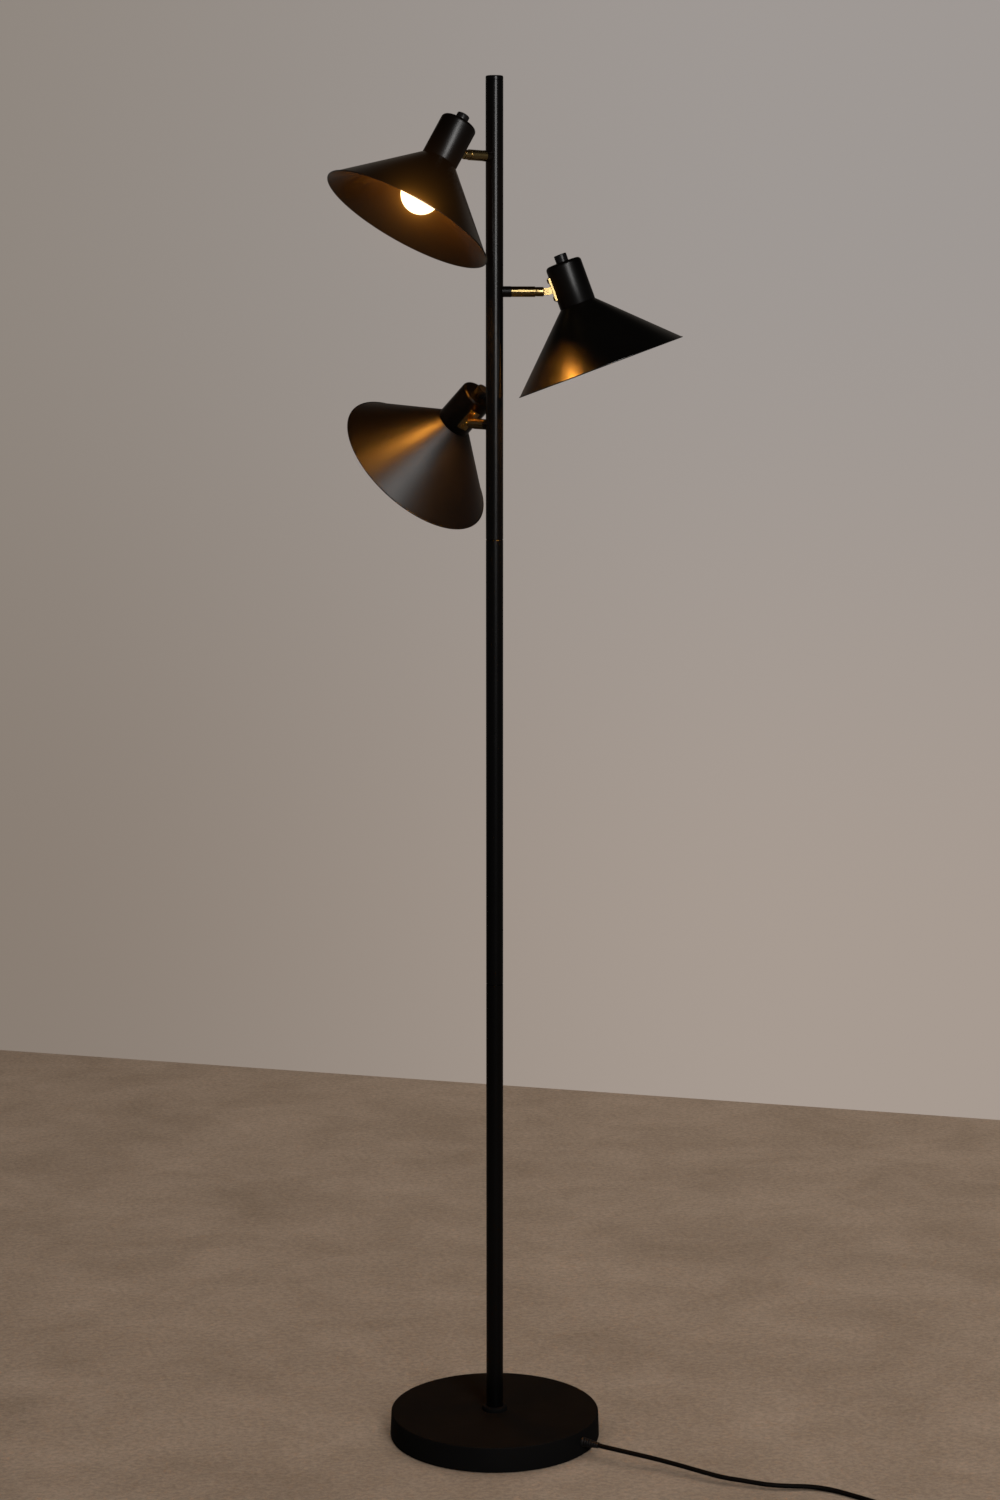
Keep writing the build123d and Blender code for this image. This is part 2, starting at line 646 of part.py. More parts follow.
# Mains lead: strain relief, lead inside the lamp, free stretch, coil, tie and plug
relief_end = exit_wall + LOOSE_FIT + RELIEF_LENGTH
relief_inside = exit_wall - COVER_WALL - LOOSE_FIT - RELIEF_COLLAR
with BuildPart() as cord_strain_relief:
    profile = [
        (relief_inside, 0),
        (relief_inside, RELIEF_DIAMETER / 2),
        (relief_inside + RELIEF_COLLAR, RELIEF_DIAMETER / 2),
        (relief_inside + RELIEF_COLLAR, RELIEF_NECK / 2),
        (exit_wall + LOOSE_FIT, RELIEF_NECK / 2),
        (exit_wall + LOOSE_FIT, RELIEF_DIAMETER / 2),
        (exit_wall + LOOSE_FIT + RELIEF_COLLAR, RELIEF_DIAMETER / 2),
        (relief_end, RELIEF_TIP / 2),
        (relief_end, 0),
    ]
    revolve(outline(exit_section, profile), axis=exit_axis)
save(cord_strain_relief, "cord_strain_relief")

with BuildPart() as inner_lead:
    start = exit_way * (relief_inside - LOOSE_FIT) + UP * CORD_HEIGHT
    turn = UP * LEAD_LOW
    end = UP * (ARM_TOP_HEIGHT + LEAD_TOP_ROOM)
    half_turn = radians((turn - start).get_angle(end - turn)) / 2
    bend = 0.95 * (NIPPLE_FOOT - LEAD_LOW) / tan(half_turn)
    with BuildLine():
        lead = FilletPolyline(start, turn, end, radius=bend)
    with BuildSketch(Plane(origin=lead @ 0, z_dir=lead % 0)):
        Circle(CORD_DIAMETER / 2)
    sweep()
save(inner_lead, "inner_lead")

coil_out = Vector(cos(radians(COIL_BEARING)), sin(radians(COIL_BEARING)), 0)
coil_way = coil_out.cross(UP)
coil_floor = TIE_THICKNESS + TIE_ROOM + CORD_DIAMETER / 2
coil_middle = Vector(*COIL_CENTRE, coil_floor)
coil_join = coil_middle + coil_out * COIL_RADIUS - coil_way * CORD_DIAMETER
relief_tip = exit_way * relief_end + UP * CORD_HEIGHT
route = [relief_tip, relief_tip + exit_way * CORD_LEAD_OUT, *[Vector(*point) for point in CORD_ROUTE]]
route += [coil_join - coil_way * COIL_LEAD_IN, coil_join]
runs = [after - before for before, after in zip(route, route[1:])]
bends = []
for before, after in zip(runs, runs[1:]):
    half_turn = radians(before.get_angle(after)) / 2
    bends.append(0.45 * min(before.length, after.length) / tan(half_turn))
print("cord radii", [round(radius) for radius in bends])
print("cord runs", [round(run.length, 1) for run in runs])

with BuildPart() as mains_cord:
    with BuildLine():
        stretch = FilletPolyline(*route, radius=bends)
    with BuildSketch(Plane(origin=stretch @ 0, z_dir=stretch % 0)):
        Circle(CORD_DIAMETER / 2)
    sweep()
save(mains_cord, "mains_cord")
cord_section = pi * CORD_DIAMETER**2 / 4
print("cord volume", round(mains_cord.part.volume), "section by length", round(stretch.length * cord_section))


def biarc(start, way_out, end, way_in):
    """Two arcs from start to end that leave and arrive along the given ways."""
    reach = end - start
    both = way_out + way_in
    squared = both.dot(both) - 4
    if abs(squared) < 1e-9:
        size = reach.dot(reach) / (2 * reach.dot(both))
    else:
        slant = reach.dot(both)
        size = (slant - sqrt(slant**2 - squared * reach.dot(reach))) / squared
        if size < 0:
            size = (slant + sqrt(slant**2 - squared * reach.dot(reach))) / squared
    first, second = start + way_out * size, end - way_in * size
    joint = (first + second) * 0.5
    return [(start, first, joint), (joint, second, end)]


def arc_middle(start, corner, end):
    """Middle point of the arc that is tangent to start-corner and corner-end."""
    half_chord = (end - start) * 0.5
    sag = corner - (start + half_chord)
    flat = half_chord.length
    side = (corner - start).length
    return start + half_chord + sag * (flat / (flat + side))


steps = [(coil_join, None, coil_join + coil_way * CORD_DIAMETER)]
place, way, radius = steps[-1][2], coil_way, COIL_RADIUS
outer, layer = coil_out, coil_floor
half_turn_count = COIL_HALF_TURNS_IN + 1 + COIL_HALF_TURNS_OUT
for number in range(half_turn_count):
    climbs = number == COIL_HALF_TURNS_IN
    if number < COIL_HALF_TURNS_IN:
        radius -= COIL_PITCH / 2
    elif not climbs:
        radius += COIL_PITCH / 2
    layer += COIL_PITCH if climbs else 0
    outer, goal_way = outer * -1, way * -1
    goal = Vector(*COIL_CENTRE, layer) + outer * radius
    steps += biarc(place, way, goal, goal_way)
    place, way = goal, goal_way
plug_start = place + way * COIL_TAIL + UP * (PLUG_THICKNESS / 2 - layer)
steps.append((place, None, place + way * CORD_DIAMETER))
tail_start = steps[-1][2]
steps += biarc(tail_start, way, plug_start - way * CORD_DIAMETER, way)
steps.append((plug_start - way * CORD_DIAMETER, None, plug_start))

with BuildPart() as cord_coil:
    with BuildLine() as winding:
        for start, corner, end in steps:
            if corner is None:
                Line(start, end)
            else:
                ThreePointArc(start, arc_middle(start, corner, end), end)
    with BuildSketch(Plane(origin=coil_join, z_dir=coil_way)):
        Circle(CORD_DIAMETER / 2)
    sweep()
save(cord_coil, "cord_coil")

turns = winding.wires()[0]
spacing = CORD_DIAMETER / 4
samples = [turns.position_at(k * spacing / turns.length) for k in range(int(turns.length / spacing))]
apart = int(4 * CORD_DIAMETER / spacing)
least = min((a - b).length for k, a in enumerate(samples) for b in samples[k + apart :])
print("coil least gap to itself", round(least - CORD_DIAMETER, 2))
print("coil volume", round(cord_coil.part.volume), "section by length", round(turns.length * cord_section))
print("cord length", round(stretch.length + turns.length))

with BuildPart() as cord_tie:
    tie_side = coil_out * -1
    inner_edge = COIL_RADIUS - COIL_PITCH / 2 * COIL_HALF_TURNS_IN - CORD_DIAMETER / 2
    outer_edge = inner_edge + COIL_PITCH / 2 * (COIL_HALF_TURNS_OUT - 1) + CORD_DIAMETER
    inner_edge -= TIE_ROOM + TIE_WIDTH**2 / (4 * COIL_RADIUS)
    outer_edge += TIE_ROOM
    roof = layer + CORD_DIAMETER / 2 + TIE_ROOM
    tie_section = Plane(origin=(*COIL_CENTRE, 0), x_dir=tie_side, z_dir=tie_side.cross(UP))
    band = outline(
        tie_section,
        [
            (inner_edge - TIE_THICKNESS, 0),
            (outer_edge + TIE_THICKNESS, 0),
            (outer_edge + TIE_THICKNESS, roof + TIE_THICKNESS),
            (inner_edge - TIE_THICKNESS, roof + TIE_THICKNESS),
        ],
    )
    extrude(band, amount=TIE_WIDTH / 2, both=True)
    fillet(cord_tie.edges().filter_by(Axis((0, 0, 0), coil_way)), TIE_THICKNESS)
    space = block(tie_section, inner_edge, outer_edge, TIE_THICKNESS, roof)
    extrude(space, amount=TIE_WIDTH / 2, both=True, mode=Mode.SUBTRACT)
save(cord_tie, "cord_tie")

with BuildPart() as mains_plug:
    plug_side = way.cross(UP)
    plug_plane = Plane(origin=plug_start, x_dir=way, z_dir=UP)
    body = [
        (0, -PLUG_NECK / 2),
        (PLUG_LENGTH / 3, -PLUG_WIDTH / 2),
        (PLUG_LENGTH, -PLUG_WIDTH / 2),
        (PLUG_LENGTH, PLUG_WIDTH / 2),
        (PLUG_LENGTH / 3, PLUG_WIDTH / 2),
        (0, PLUG_NECK / 2),
    ]
    extrude(outline(plug_plane, body), amount=PLUG_THICKNESS / 2, both=True)
    fillet(mains_plug.edges().filter_by(Axis.Z), PLUG_ROUND)
    with BuildSketch(Plane(origin=plug_start + way * PLUG_LENGTH, x_dir=plug_side, z_dir=way)):
        with GridLocations(PLUG_PIN_SPACING, 0, 2, 1):
            Circle(PLUG_PIN_DIAMETER / 2)
    extrude(amount=PLUG_PIN_LENGTH)
save(mains_plug, "mains_plug")
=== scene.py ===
# %% [markdown]
# # A floor lamp with three tilting heads
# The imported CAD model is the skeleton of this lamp: every tube, cone, hinge and screw is already at
# its real size and place, in metres. Here it gets its looks: satin paint, brass, glass that glows, and
# the small turned and moulded pieces that the CAD model keeps plain.

# %% Load the frame
import json
import math

import bmesh
import bpy
from mathutils import Matrix, Vector


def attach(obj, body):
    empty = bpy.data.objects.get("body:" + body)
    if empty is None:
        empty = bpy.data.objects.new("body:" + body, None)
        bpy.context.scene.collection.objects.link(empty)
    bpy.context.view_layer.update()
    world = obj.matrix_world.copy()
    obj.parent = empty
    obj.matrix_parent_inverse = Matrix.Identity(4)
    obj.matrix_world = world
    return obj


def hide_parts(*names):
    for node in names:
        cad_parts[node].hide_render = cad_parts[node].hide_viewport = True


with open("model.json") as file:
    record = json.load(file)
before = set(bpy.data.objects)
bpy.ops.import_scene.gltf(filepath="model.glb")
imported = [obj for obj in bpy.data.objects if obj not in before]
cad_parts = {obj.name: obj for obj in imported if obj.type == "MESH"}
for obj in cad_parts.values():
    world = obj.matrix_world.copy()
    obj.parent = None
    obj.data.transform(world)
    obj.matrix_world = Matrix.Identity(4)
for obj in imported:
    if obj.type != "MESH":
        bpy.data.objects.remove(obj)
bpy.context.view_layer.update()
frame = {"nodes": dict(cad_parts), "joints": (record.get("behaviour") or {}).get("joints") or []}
nodes = frame["nodes"]
HEADS = ("upper", "middle", "lower")
MM = 0.001

# %% [markdown]
# ## Camera
# The photograph was taken from the front, a little above the heads, with a long lens. Instead of
# moving a camera by eye, its place, pitch and focal length were solved from the pole, the base and
# the rims of the shades, so the same numbers are set here. The photograph has deep blacks and strong
# colour, so the plain Standard view is used, which doesn't lift or wash them out.

# %% Camera
PICTURE_HEIGHT = 1500
FOCAL_PIXELS = 2935.9
SENSOR = 36.0
CAMERA_PLACE = (0.00629, -3.3843, 1.3206)
PITCH_DOWN = math.radians(8.218)
bpy.ops.object.camera_add(location=CAMERA_PLACE, rotation=(math.pi / 2 - PITCH_DOWN, 0, 0))
camera = bpy.context.object
camera.data.sensor_width = SENSOR
camera.data.lens = FOCAL_PIXELS / PICTURE_HEIGHT * SENSOR
bpy.context.scene.camera = camera
bpy.context.scene.view_settings.view_transform = "Standard"
print("camera lens", round(camera.data.lens, 2), "mm")

# %% [markdown]
# ## Floor
# The lamp stands on a pale floor whose far edge runs a little aslant through the picture. One plane
# does for it, placed by the middle of that edge and turned with it.

# %% Floor
FLOOR_SIZE = (7.2, 4.2)
BACK_EDGE_MIDDLE = Vector((-0.035, 1.651, 0.0))
BACK_EDGE_TURN = math.radians(-15.3)
towards_viewer = Vector((math.sin(BACK_EDGE_TURN), -math.cos(BACK_EDGE_TURN), 0))
bpy.ops.mesh.primitive_plane_add(
    size=1.0,
    location=BACK_EDGE_MIDDLE + towards_viewer * FLOOR_SIZE[1] / 2,
    rotation=(0, 0, BACK_EDGE_TURN),
)
floor = bpy.context.object
floor.name = "studio_floor"
floor.scale = (*FLOOR_SIZE, 1.0)
bpy.ops.object.transform_apply(location=True, rotation=True, scale=True)
print("floor", [round(v, 2) for v in floor.dimensions])

# %% [markdown]
# ## Room
# The lamp is black, so what it mirrors matters more than what falls on it. The world's colour does the
# room around it. The camera itself sees a plain wall that is paler to the right. Every other ray sees
# dim sides, a dark ceiling and a somewhat brighter wall behind the lamp. First come a few helpers that
# say once how a node is added, how its sockets are linked or set, and how two colours are mixed.


# %% Helpers for nodes
def fill(tree, socket, value):
    """Links a socket to another node's result, or sets it to a plain value."""
    if isinstance(value, bpy.types.NodeSocket):
        tree.links.new(value, socket)
    else:
        socket.default_value = value


def feed(tree, node, **sockets):
    """Fills the sockets of a node by name."""
    for label, value in sockets.items():
        fill(tree, node.inputs[label.replace("_", " ")], value)


def add(tree, kind, **sockets):
    """Adds a shader node and fills its sockets by name."""
    made = tree.nodes.new("ShaderNode" + kind)
    feed(tree, made, **sockets)
    return made


def mixed(tree, mask, first, second):
    """Goes from the first colour to the second where the mask is 1."""
    made = add(tree, "Mix", Factor=mask)
    made.data_type = "RGBA"
    for socket, colour in zip(made.inputs[6:8], (first, second)):
        fill(tree, socket, (*colour, 1) if isinstance(colour, tuple) else colour)
    return made.outputs[2]


# %% World
WALL_LEFT_HIGH, WALL_RIGHT_HIGH = (0.270, 0.235, 0.204), (0.348, 0.318, 0.300)
WALL_LEFT_LOW, WALL_RIGHT_LOW = (0.247, 0.204, 0.169), (0.392, 0.331, 0.288)
WALL_BEHIND = (0.10, 0.088, 0.075)
ROOM_SIDES = (0.045, 0.042, 0.040)
DARK_CEILING = (0.003, 0.003, 0.003)
world = bpy.data.worlds.new("studio_room")
bpy.context.scene.world = world
world.use_nodes = True
room = world.node_tree
room.nodes.clear()
look = add(room, "SeparateXYZ", Vector=add(room, "TexCoord").outputs["Generated"])


def fading(towards, start, end, first, second):
    """A colour that turns from the first to the second along one direction of the room."""
    share = add(room, "MapRange", Value=look.outputs[towards], From_Min=start, From_Max=end)
    share.interpolation_type = "SMOOTHSTEP"
    return mixed(room, share.outputs["Result"], first, second)


# The wall that the camera sees is paler to the right, darkest low on the left and palest low on the right:
# painted light, the studio light falling unevenly across the wall.
high = fading("X", -0.24, 0.11, WALL_LEFT_HIGH, WALL_RIGHT_HIGH)
low = fading("X", -0.20, 0.11, WALL_LEFT_LOW, WALL_RIGHT_LOW)
seen = add(room, "Background", Color=fading("Z", -0.22, 0.05, low, high))
dim_room = fading("Z", 0.1, 0.45, ROOM_SIDES, DARK_CEILING)
felt = add(room, "Background", Color=fading("Y", 0.72, 1.0, dim_room, WALL_BEHIND))
choose = add(room, "MixShader", Fac=add(room, "LightPath").outputs["Is Camera Ray"])
fill(room, choose.inputs[1], felt.outputs["Background"])
fill(room, choose.inputs[2], seen.outputs["Background"])
add(room, "OutputWorld", Surface=choose.outputs["Shader"])
print("world with", len(room.nodes), "nodes")

# %% [markdown]
# ## Studio lights
# One tall soft light stands at the right. Following the camera's rays off the caps, the pole and the
# lowest cone shows where: about 20 degrees to the right of the camera, from hip height to far above the
# lamp. The floor needs more light than that, so a wide fill hangs over it. Light linking lets the fill
# reach the floor alone, because the black paint would mirror so large a light.


# %% Studio lights
def soft_light(name, place, target, size, power, colour):
    """A rectangular soft light that faces a target."""
    bpy.ops.object.light_add(type="AREA", location=place)
    light = bpy.context.object
    light.name = name
    light.data.shape = "RECTANGLE"
    light.data.size, light.data.size_y = size
    light.data.energy = power
    light.data.color = colour
    light.visible_camera = False
    light.rotation_euler = (Vector(target) - Vector(place)).to_track_quat("-Z", "Y").to_euler()
    return light


KEY_COLOUR, FILL_COLOUR = (1.0, 0.985, 0.97), (1.0, 0.90, 0.815)
soft_light("tall_key", (1.10, -3.10, 2.55), (0, 0, 2.55), size=(0.9, 2.6), power=60, colour=KEY_COLOUR)
floor_fill = soft_light(
    "floor_fill", (2.1, 1.4, 2.8), (2.1, 1.4, 0), size=(8.0, 6.0), power=95, colour=FILL_COLOUR
)
floor_fill.data.spread = math.radians(120)
floor_only = bpy.data.collections.new("floor_only")
floor_only.objects.link(floor)
floor_fill.light_linking.receiver_collection = floor_only
print("lights: tall_key for all,", floor_fill.name, "for", floor.name)

# %% [markdown]
# ## Mains lead
# A black lead leaves the base through a moulded sleeve, sinks to the floor and wanders out of view.
# The length that the photograph doesn't show lies in a tied coil. One smooth curve follows the same
# points as the CAD tube, and the coil's turns are more points of that curve. The tube's radius is the
# bevel's depth times the radius of each point. A curve's box counts the points' own radius too, so the
# points carry the real one and the depth is 1.

# %% Mains lead
LEAD_LENGTH, CORD_DIAMETER = 1.95, 0.0055
LEAD_ROUTE_MM = (
    (122.1, -82.3, 17.0),
    (138.7, -93.5, 17.0),
    (166.0, -104.4, 14.8),
    (204.5, -121.6, 11.6),
    (242.5, -145.0, 9.0),
    (263.5, -156.8, 7.6),
    (289.5, -164.4, 6.4),
    (314.5, -173.2, 5.4),
    (338.0, -174.6, 4.6),
    (361.5, -173.4, 3.8),
    (384.5, -180.4, 3.1),
    (403.0, -193.4, 2.8),
    (421.0, -208.0, 2.8),
    (438.0, -224.0, 3.4),
)
COIL_CENTRE = Vector((425.0, -292.0, 0.0))
COIL_BEARING = math.radians(20.0)
COIL_RADIUS, COIL_PITCH = 44.5, 7.0
COIL_FLOOR = 4.35
TURNS_IN, TURNS_CLIMB, TURNS_OUT = 3.0, 0.5, 3.5
POINTS_A_TURN = 16
RUN_IN = (31.5, 5.5)
TAIL = ((10, 11.3), (22, 7.2), (34, 7.0))
CHORD = math.cos(math.pi / POINTS_A_TURN)
coil_out = Vector((math.cos(COIL_BEARING), math.sin(COIL_BEARING), 0))
coil_way = Vector((math.sin(COIL_BEARING), -math.cos(COIL_BEARING), 0))


def coil_point(turns):
    """A control point of the coil after so many turns, a little outside the line it pulls."""
    inner = COIL_RADIUS - COIL_PITCH * TURNS_IN
    climbed = min(max((turns - TURNS_IN) / TURNS_CLIMB, 0), 1)
    radius = max(COIL_RADIUS - COIL_PITCH * turns, inner)
    radius += COIL_PITCH * max(turns - TURNS_IN - TURNS_CLIMB, 0)
    angle = COIL_BEARING - 2 * math.pi * turns
    flat = Vector((math.cos(angle), math.sin(angle), 0)) * (radius / CHORD)
    return COIL_CENTRE + flat + Vector((0, 0, COIL_FLOOR + COIL_PITCH * climbed))


coil_turns = TURNS_IN + TURNS_CLIMB + TURNS_OUT
coil_start = COIL_CENTRE + coil_out * COIL_RADIUS + Vector((0, 0, COIL_FLOOR))
tail_start = COIL_CENTRE + coil_out * (COIL_RADIUS + COIL_PITCH / 2)
route = [Vector(point) for point in LEAD_ROUTE_MM]
route += [coil_start - coil_way * reach for reach in RUN_IN]
route += [coil_point(k / POINTS_A_TURN) for k in range(int(coil_turns * POINTS_A_TURN) + 1)]
for reach, height in TAIL:
    route.append(tail_start + coil_way * reach + Vector((0, 0, height)))

line = bpy.data.curves.new("mains_lead", "CURVE")
line.dimensions = "3D"
line.bevel_depth = 1.0
line.bevel_resolution = 4
line.resolution_u = 6
spline = line.splines.new("NURBS")
spline.points.add(len(route) - 1)
for point, place in zip(spline.points, route):
    point.co = (*(place * MM), 1)
    point.radius = CORD_DIAMETER / 2
spline.order_u = 3
spline.use_endpoint_u = True
lead = bpy.data.objects.new("mains_lead", line)
bpy.context.scene.collection.objects.link(lead)
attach(lead, "stand")
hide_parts("mains_cord", "cord_coil")
print("lead with", len(route), "points")

# %% [markdown]
# ## Places to work in
# Each small piece is easiest to make upright at the origin and to set in its place at the end. The
# frame's joints give those places: the tilt pin, its axis and the button's way in are enough to know
# where a head's own axis runs. The helpers below say once how a piece is turned, rounded, copied, set in
# its place and tied to its body.

# %% Places of the arms and heads
HEAD_REACH = 27.4
joint_of = {joint["name"]: joint for joint in frame["joints"]}


def standing_place(origin, up, right):
    """A place whose Z runs along up and whose X runs along right."""
    up, right = Vector(up).normalized(), Vector(right).normalized()
    axes = Matrix((right, up.cross(right), up)).transposed().to_4x4()
    return Matrix.Translation(origin) @ axes


head_place, arm_place = {}, {}
for name in HEADS:
    pivot = Vector(joint_of[f"tilt_{name}"]["pos_m"])
    pin = Vector(joint_of[f"tilt_{name}"]["axis"])
    lift = -Vector(joint_of[f"press_{name}"]["axis"])
    outward = lift.cross(pin)
    along = -Vector(joint_of[f"swivel_{name}"]["axis"])
    head_place[name] = standing_place(pivot + outward * HEAD_REACH * MM, lift, outward)
    arm_place[name] = standing_place((0, 0, pivot.z), along, (0, 0, 1))
    print(name, "head at", [round(v, 4) for v in head_place[name].translation])


# %% Helpers for turned pieces
def only(piece):
    """Leaves one piece selected and active."""
    bpy.ops.object.select_all(action="DESELECT")
    piece.select_set(True)
    bpy.context.view_layer.objects.active = piece


def smooth(piece, sharper_than=32):
    """Shades a piece smooth, except over edges that turn by more degrees than this."""
    only(piece)
    bpy.ops.object.shade_smooth_by_angle(angle=math.radians(sharper_than))


def turned(name, outline_mm, facets=64, sharper_than=32):
    """Draws half an outline, point by point, in radius and height, and spins it round Z."""
    bpy.ops.mesh.primitive_plane_add(size=MM, location=(0, 0, 0))
    piece = bpy.context.object
    piece.name = piece.data.name = name
    bpy.ops.object.mode_set(mode="EDIT")
    bpy.ops.mesh.select_mode(type="VERT")
    bpy.ops.mesh.select_all(action="SELECT")
    bpy.ops.mesh.merge(type="CENTER")
    points = [Vector((radius, 0, height)) * MM for radius, height in outline_mm]
    bpy.ops.transform.translate(value=points[0])
    for here, there in zip(points, points[1:]):
        bpy.ops.mesh.extrude_region_move(TRANSFORM_OT_translate={"value": there - here})
    bpy.ops.mesh.select_all(action="SELECT")
    bpy.ops.mesh.spin(steps=facets, angle=2 * math.pi, center=(0, 0, 0), axis=(0, 0, 1))
    bpy.ops.mesh.select_all(action="SELECT")
    bpy.ops.mesh.remove_doubles(threshold=1e-6)
    bpy.ops.mesh.normals_make_consistent(inside=False)
    bpy.ops.object.mode_set(mode="OBJECT")
    smooth(piece, sharper_than)
    return piece


def soften(piece, width_mm, segments=3, sharper_than=35):
    """Rounds the sharp edges of a piece and shades it smooth."""
    only(piece)
    bpy.ops.object.modifier_add(type="BEVEL")
    rounding = piece.modifiers[-1]
    rounding.width = width_mm * MM
    rounding.segments = segments
    rounding.limit_method = "ANGLE"
    rounding.angle_limit = math.radians(sharper_than)
    bpy.ops.object.modifier_apply(modifier=rounding.name)
    smooth(piece, sharper_than)


def settle(piece, place):
    """Sets a piece in its place and leaves the place in its mesh."""
    only(piece)
    piece.matrix_world = place
    bpy.ops.object.transform_apply(location=True, rotation=True, scale=True)


def copy_of(piece, name):
    """A copy with its own mesh."""
    only(piece)
    bpy.ops.object.duplicate(linked=False)
    twin = bpy.context.object
    twin.name = twin.data.name = name
    return twin


def joined(pieces):
    """Joins some pieces into the first of them."""
    bpy.ops.object.select_all(action="DESELECT")
    for piece in pieces:
        piece.select_set(True)
    bpy.context.view_layer.objects.active = pieces[0]
    bpy.ops.object.join()
    return pieces[0]


stand_ins = {"mains_cord": lead}


def put_on(piece, body, slot, *stands_for):
    """Ties a piece to the body it moves with and the CAD nodes it stands for."""
    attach(piece, body)
    if stands_for:
        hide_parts(*stands_for)
    stand_ins.update(dict.fromkeys(stands_for, piece))


def one_for_each_head(pattern, body, slot, node, places=head_place):
    """Sets a copy of a pattern piece in every head, and the pattern itself in the last."""
    label = pattern.name
    for name in HEADS:
        piece = pattern if name == HEADS[-1] else copy_of(pattern, label)
        piece.name = piece.data.name = f"{label}_{name}"
        settle(piece, places[name])
        put_on(piece, body.format(name), slot, node.format(name))
    print(label, "x", len(HEADS), "with", len(pattern.data.polygons), "faces each")


# %% [markdown]
# ## Brass arms
# Each arm is a short polished bar with a stepped end: a fine groove, then a slimmer ferrule that the
# knuckle turns in. On the bench this is lathe work, so it is made as on a lathe here too: half the
# outline is drawn by extruding a point, and a spin turns it round.

# %% Brass arms
ARM_OUTLINE = (
    (2.5, 7.0), (4.0, 7.0), (4.0, 18.8), (5.6, 18.8), (6.0, 19.2), (6.0, 46.2), (5.8, 46.5), (5.1, 46.5),
    (5.1, 47.1), (5.35, 47.3), (5.4, 47.7), (5.4, 54.8), (5.25, 55.6), (4.9, 56.2), (4.5, 56.4),
    (4.5, 42.1), (2.5, 42.1), (2.5, 7.0),
)  # fmt: skip
arm_pattern = turned("brass_arm", ARM_OUTLINE)
one_for_each_head(arm_pattern, "stand", "brass", "arm_{}", arm_place)

# %% [markdown]
# ## Spun shades, caps, base cover and foot collar
# The painted shells are spun and pressed from sheet on the real lamp. The CAD model's triangles are
# right in shape but uneven along the small rounds, and satin paint shows that as jagged highlights.
# So the same outlines are turned again here, with even quads and short arcs at every edge.


# %% Spun shades
def arc(centre, radius, start, end, steps):
    """Points of a round in an outline, from one angle to another in degrees."""
    angles = [math.radians(start + (end - start) * k / steps) for k in range(steps + 1)]
    return [(centre[0] + radius * math.cos(a), centre[1] + radius * math.sin(a)) for a in angles]


CAP_RADIUS, CAP_HALF, SHEET = 21.0, 25.25, 1.0
RIM_MIDDLE, RIM_ROUND = (98.8, -101.05), 0.7
SHADE_HOLE = 14.0
shade_outline = [(SHADE_HOLE, -CAP_HALF), (20.7, -CAP_HALF), (21.05, -CAP_HALF - 0.12)]
shade_outline += [(21.3, -CAP_HALF - 0.3), (60.0, -63.25), *arc(RIM_MIDDLE, RIM_ROUND, 130, -125, 9)]
shade_outline += [(97.5, -101.3), (59.0, -63.67), (20.6, -CAP_HALF - SHEET)]
shade_outline += [(SHADE_HOLE, -CAP_HALF - SHEET), (SHADE_HOLE, -CAP_HALF)]
shade_pattern = turned("spun_shade", shade_outline, 144)
one_for_each_head(shade_pattern, "head_{}", "black_paint", "shade_{}")

# %% Caps
CAP_WALL, CAP_ROUND, BUTTON_HOLE = 1.2, 4.5, 7.6
bend_middle = (CAP_RADIUS - CAP_ROUND, CAP_HALF - CAP_ROUND)
cap_outline = [(BUTTON_HOLE, CAP_HALF - 0.3), (BUTTON_HOLE + 0.3, CAP_HALF)]
cap_outline += [*arc(bend_middle, CAP_ROUND, 90, 0, 10), (CAP_RADIUS, -CAP_HALF + 0.45)]
cap_outline += [(CAP_RADIUS - 0.15, -CAP_HALF + 0.1), (CAP_RADIUS - 0.45, -CAP_HALF + 0.02)]
cap_outline += [(CAP_RADIUS - CAP_WALL, -CAP_HALF + 0.02)]
cap_outline += arc(bend_middle, CAP_ROUND - CAP_WALL, 0, 90, 6)
cap_outline += [(BUTTON_HOLE, CAP_HALF - CAP_WALL), (BUTTON_HOLE, CAP_HALF - 0.3)]
cap_pattern = turned("pressed_cap", cap_outline, 96)
one_for_each_head(cap_pattern, "head_{}", "black_paint", "socket_cap_{}")

# %% Base cover and foot collar
BASE_TOP, BASE_FOOT, BASE_SHEET, BASE_ROUND = 30.5, 1.0, 1.5, 1.6
BASE_HOLE, POLE_HOLE = 5.02, 10.02
base_outline = [(BASE_HOLE, BASE_TOP), (60.0, BASE_TOP)]
base_outline += arc((122.85, BASE_TOP - BASE_ROUND), BASE_ROUND, 90, 2, 8)
base_outline += [(125.48, BASE_FOOT + 0.4), (125.2, BASE_FOOT), (124.3, BASE_FOOT)]
base_outline += [(124.0, BASE_FOOT + 0.4), (123.0, BASE_TOP - BASE_SHEET)]
base_outline += [(BASE_HOLE, BASE_TOP - BASE_SHEET), (BASE_HOLE, BASE_TOP)]
base_shell = turned("base_shell", base_outline, 192)
put_on(base_shell, "stand", "black_paint", "base_cover")
collar_outline = [(POLE_HOLE, BASE_TOP), (14.8, BASE_TOP), (15.0, BASE_TOP + 0.2)]
collar_outline += arc((13.2, BASE_TOP + 3.7), 1.8, 0, 90, 8)
collar_outline += [(10.4, BASE_TOP + 5.5), (POLE_HOLE, BASE_TOP + 5.2), (POLE_HOLE, BASE_TOP)]
foot_ring = turned("foot_ring", collar_outline, 96)
put_on(foot_ring, "stand", "black_paint", "foot_collar")
print("base and collar", len(base_shell.data.polygons), len(foot_ring.data.polygons), "faces")

# %% [markdown]
# ## Push buttons
# The round button on each cap is a moulded knob with a slightly dished top and a fine groove above the
# cap. It slides in the cap's roof, so it rides on the button's own body.

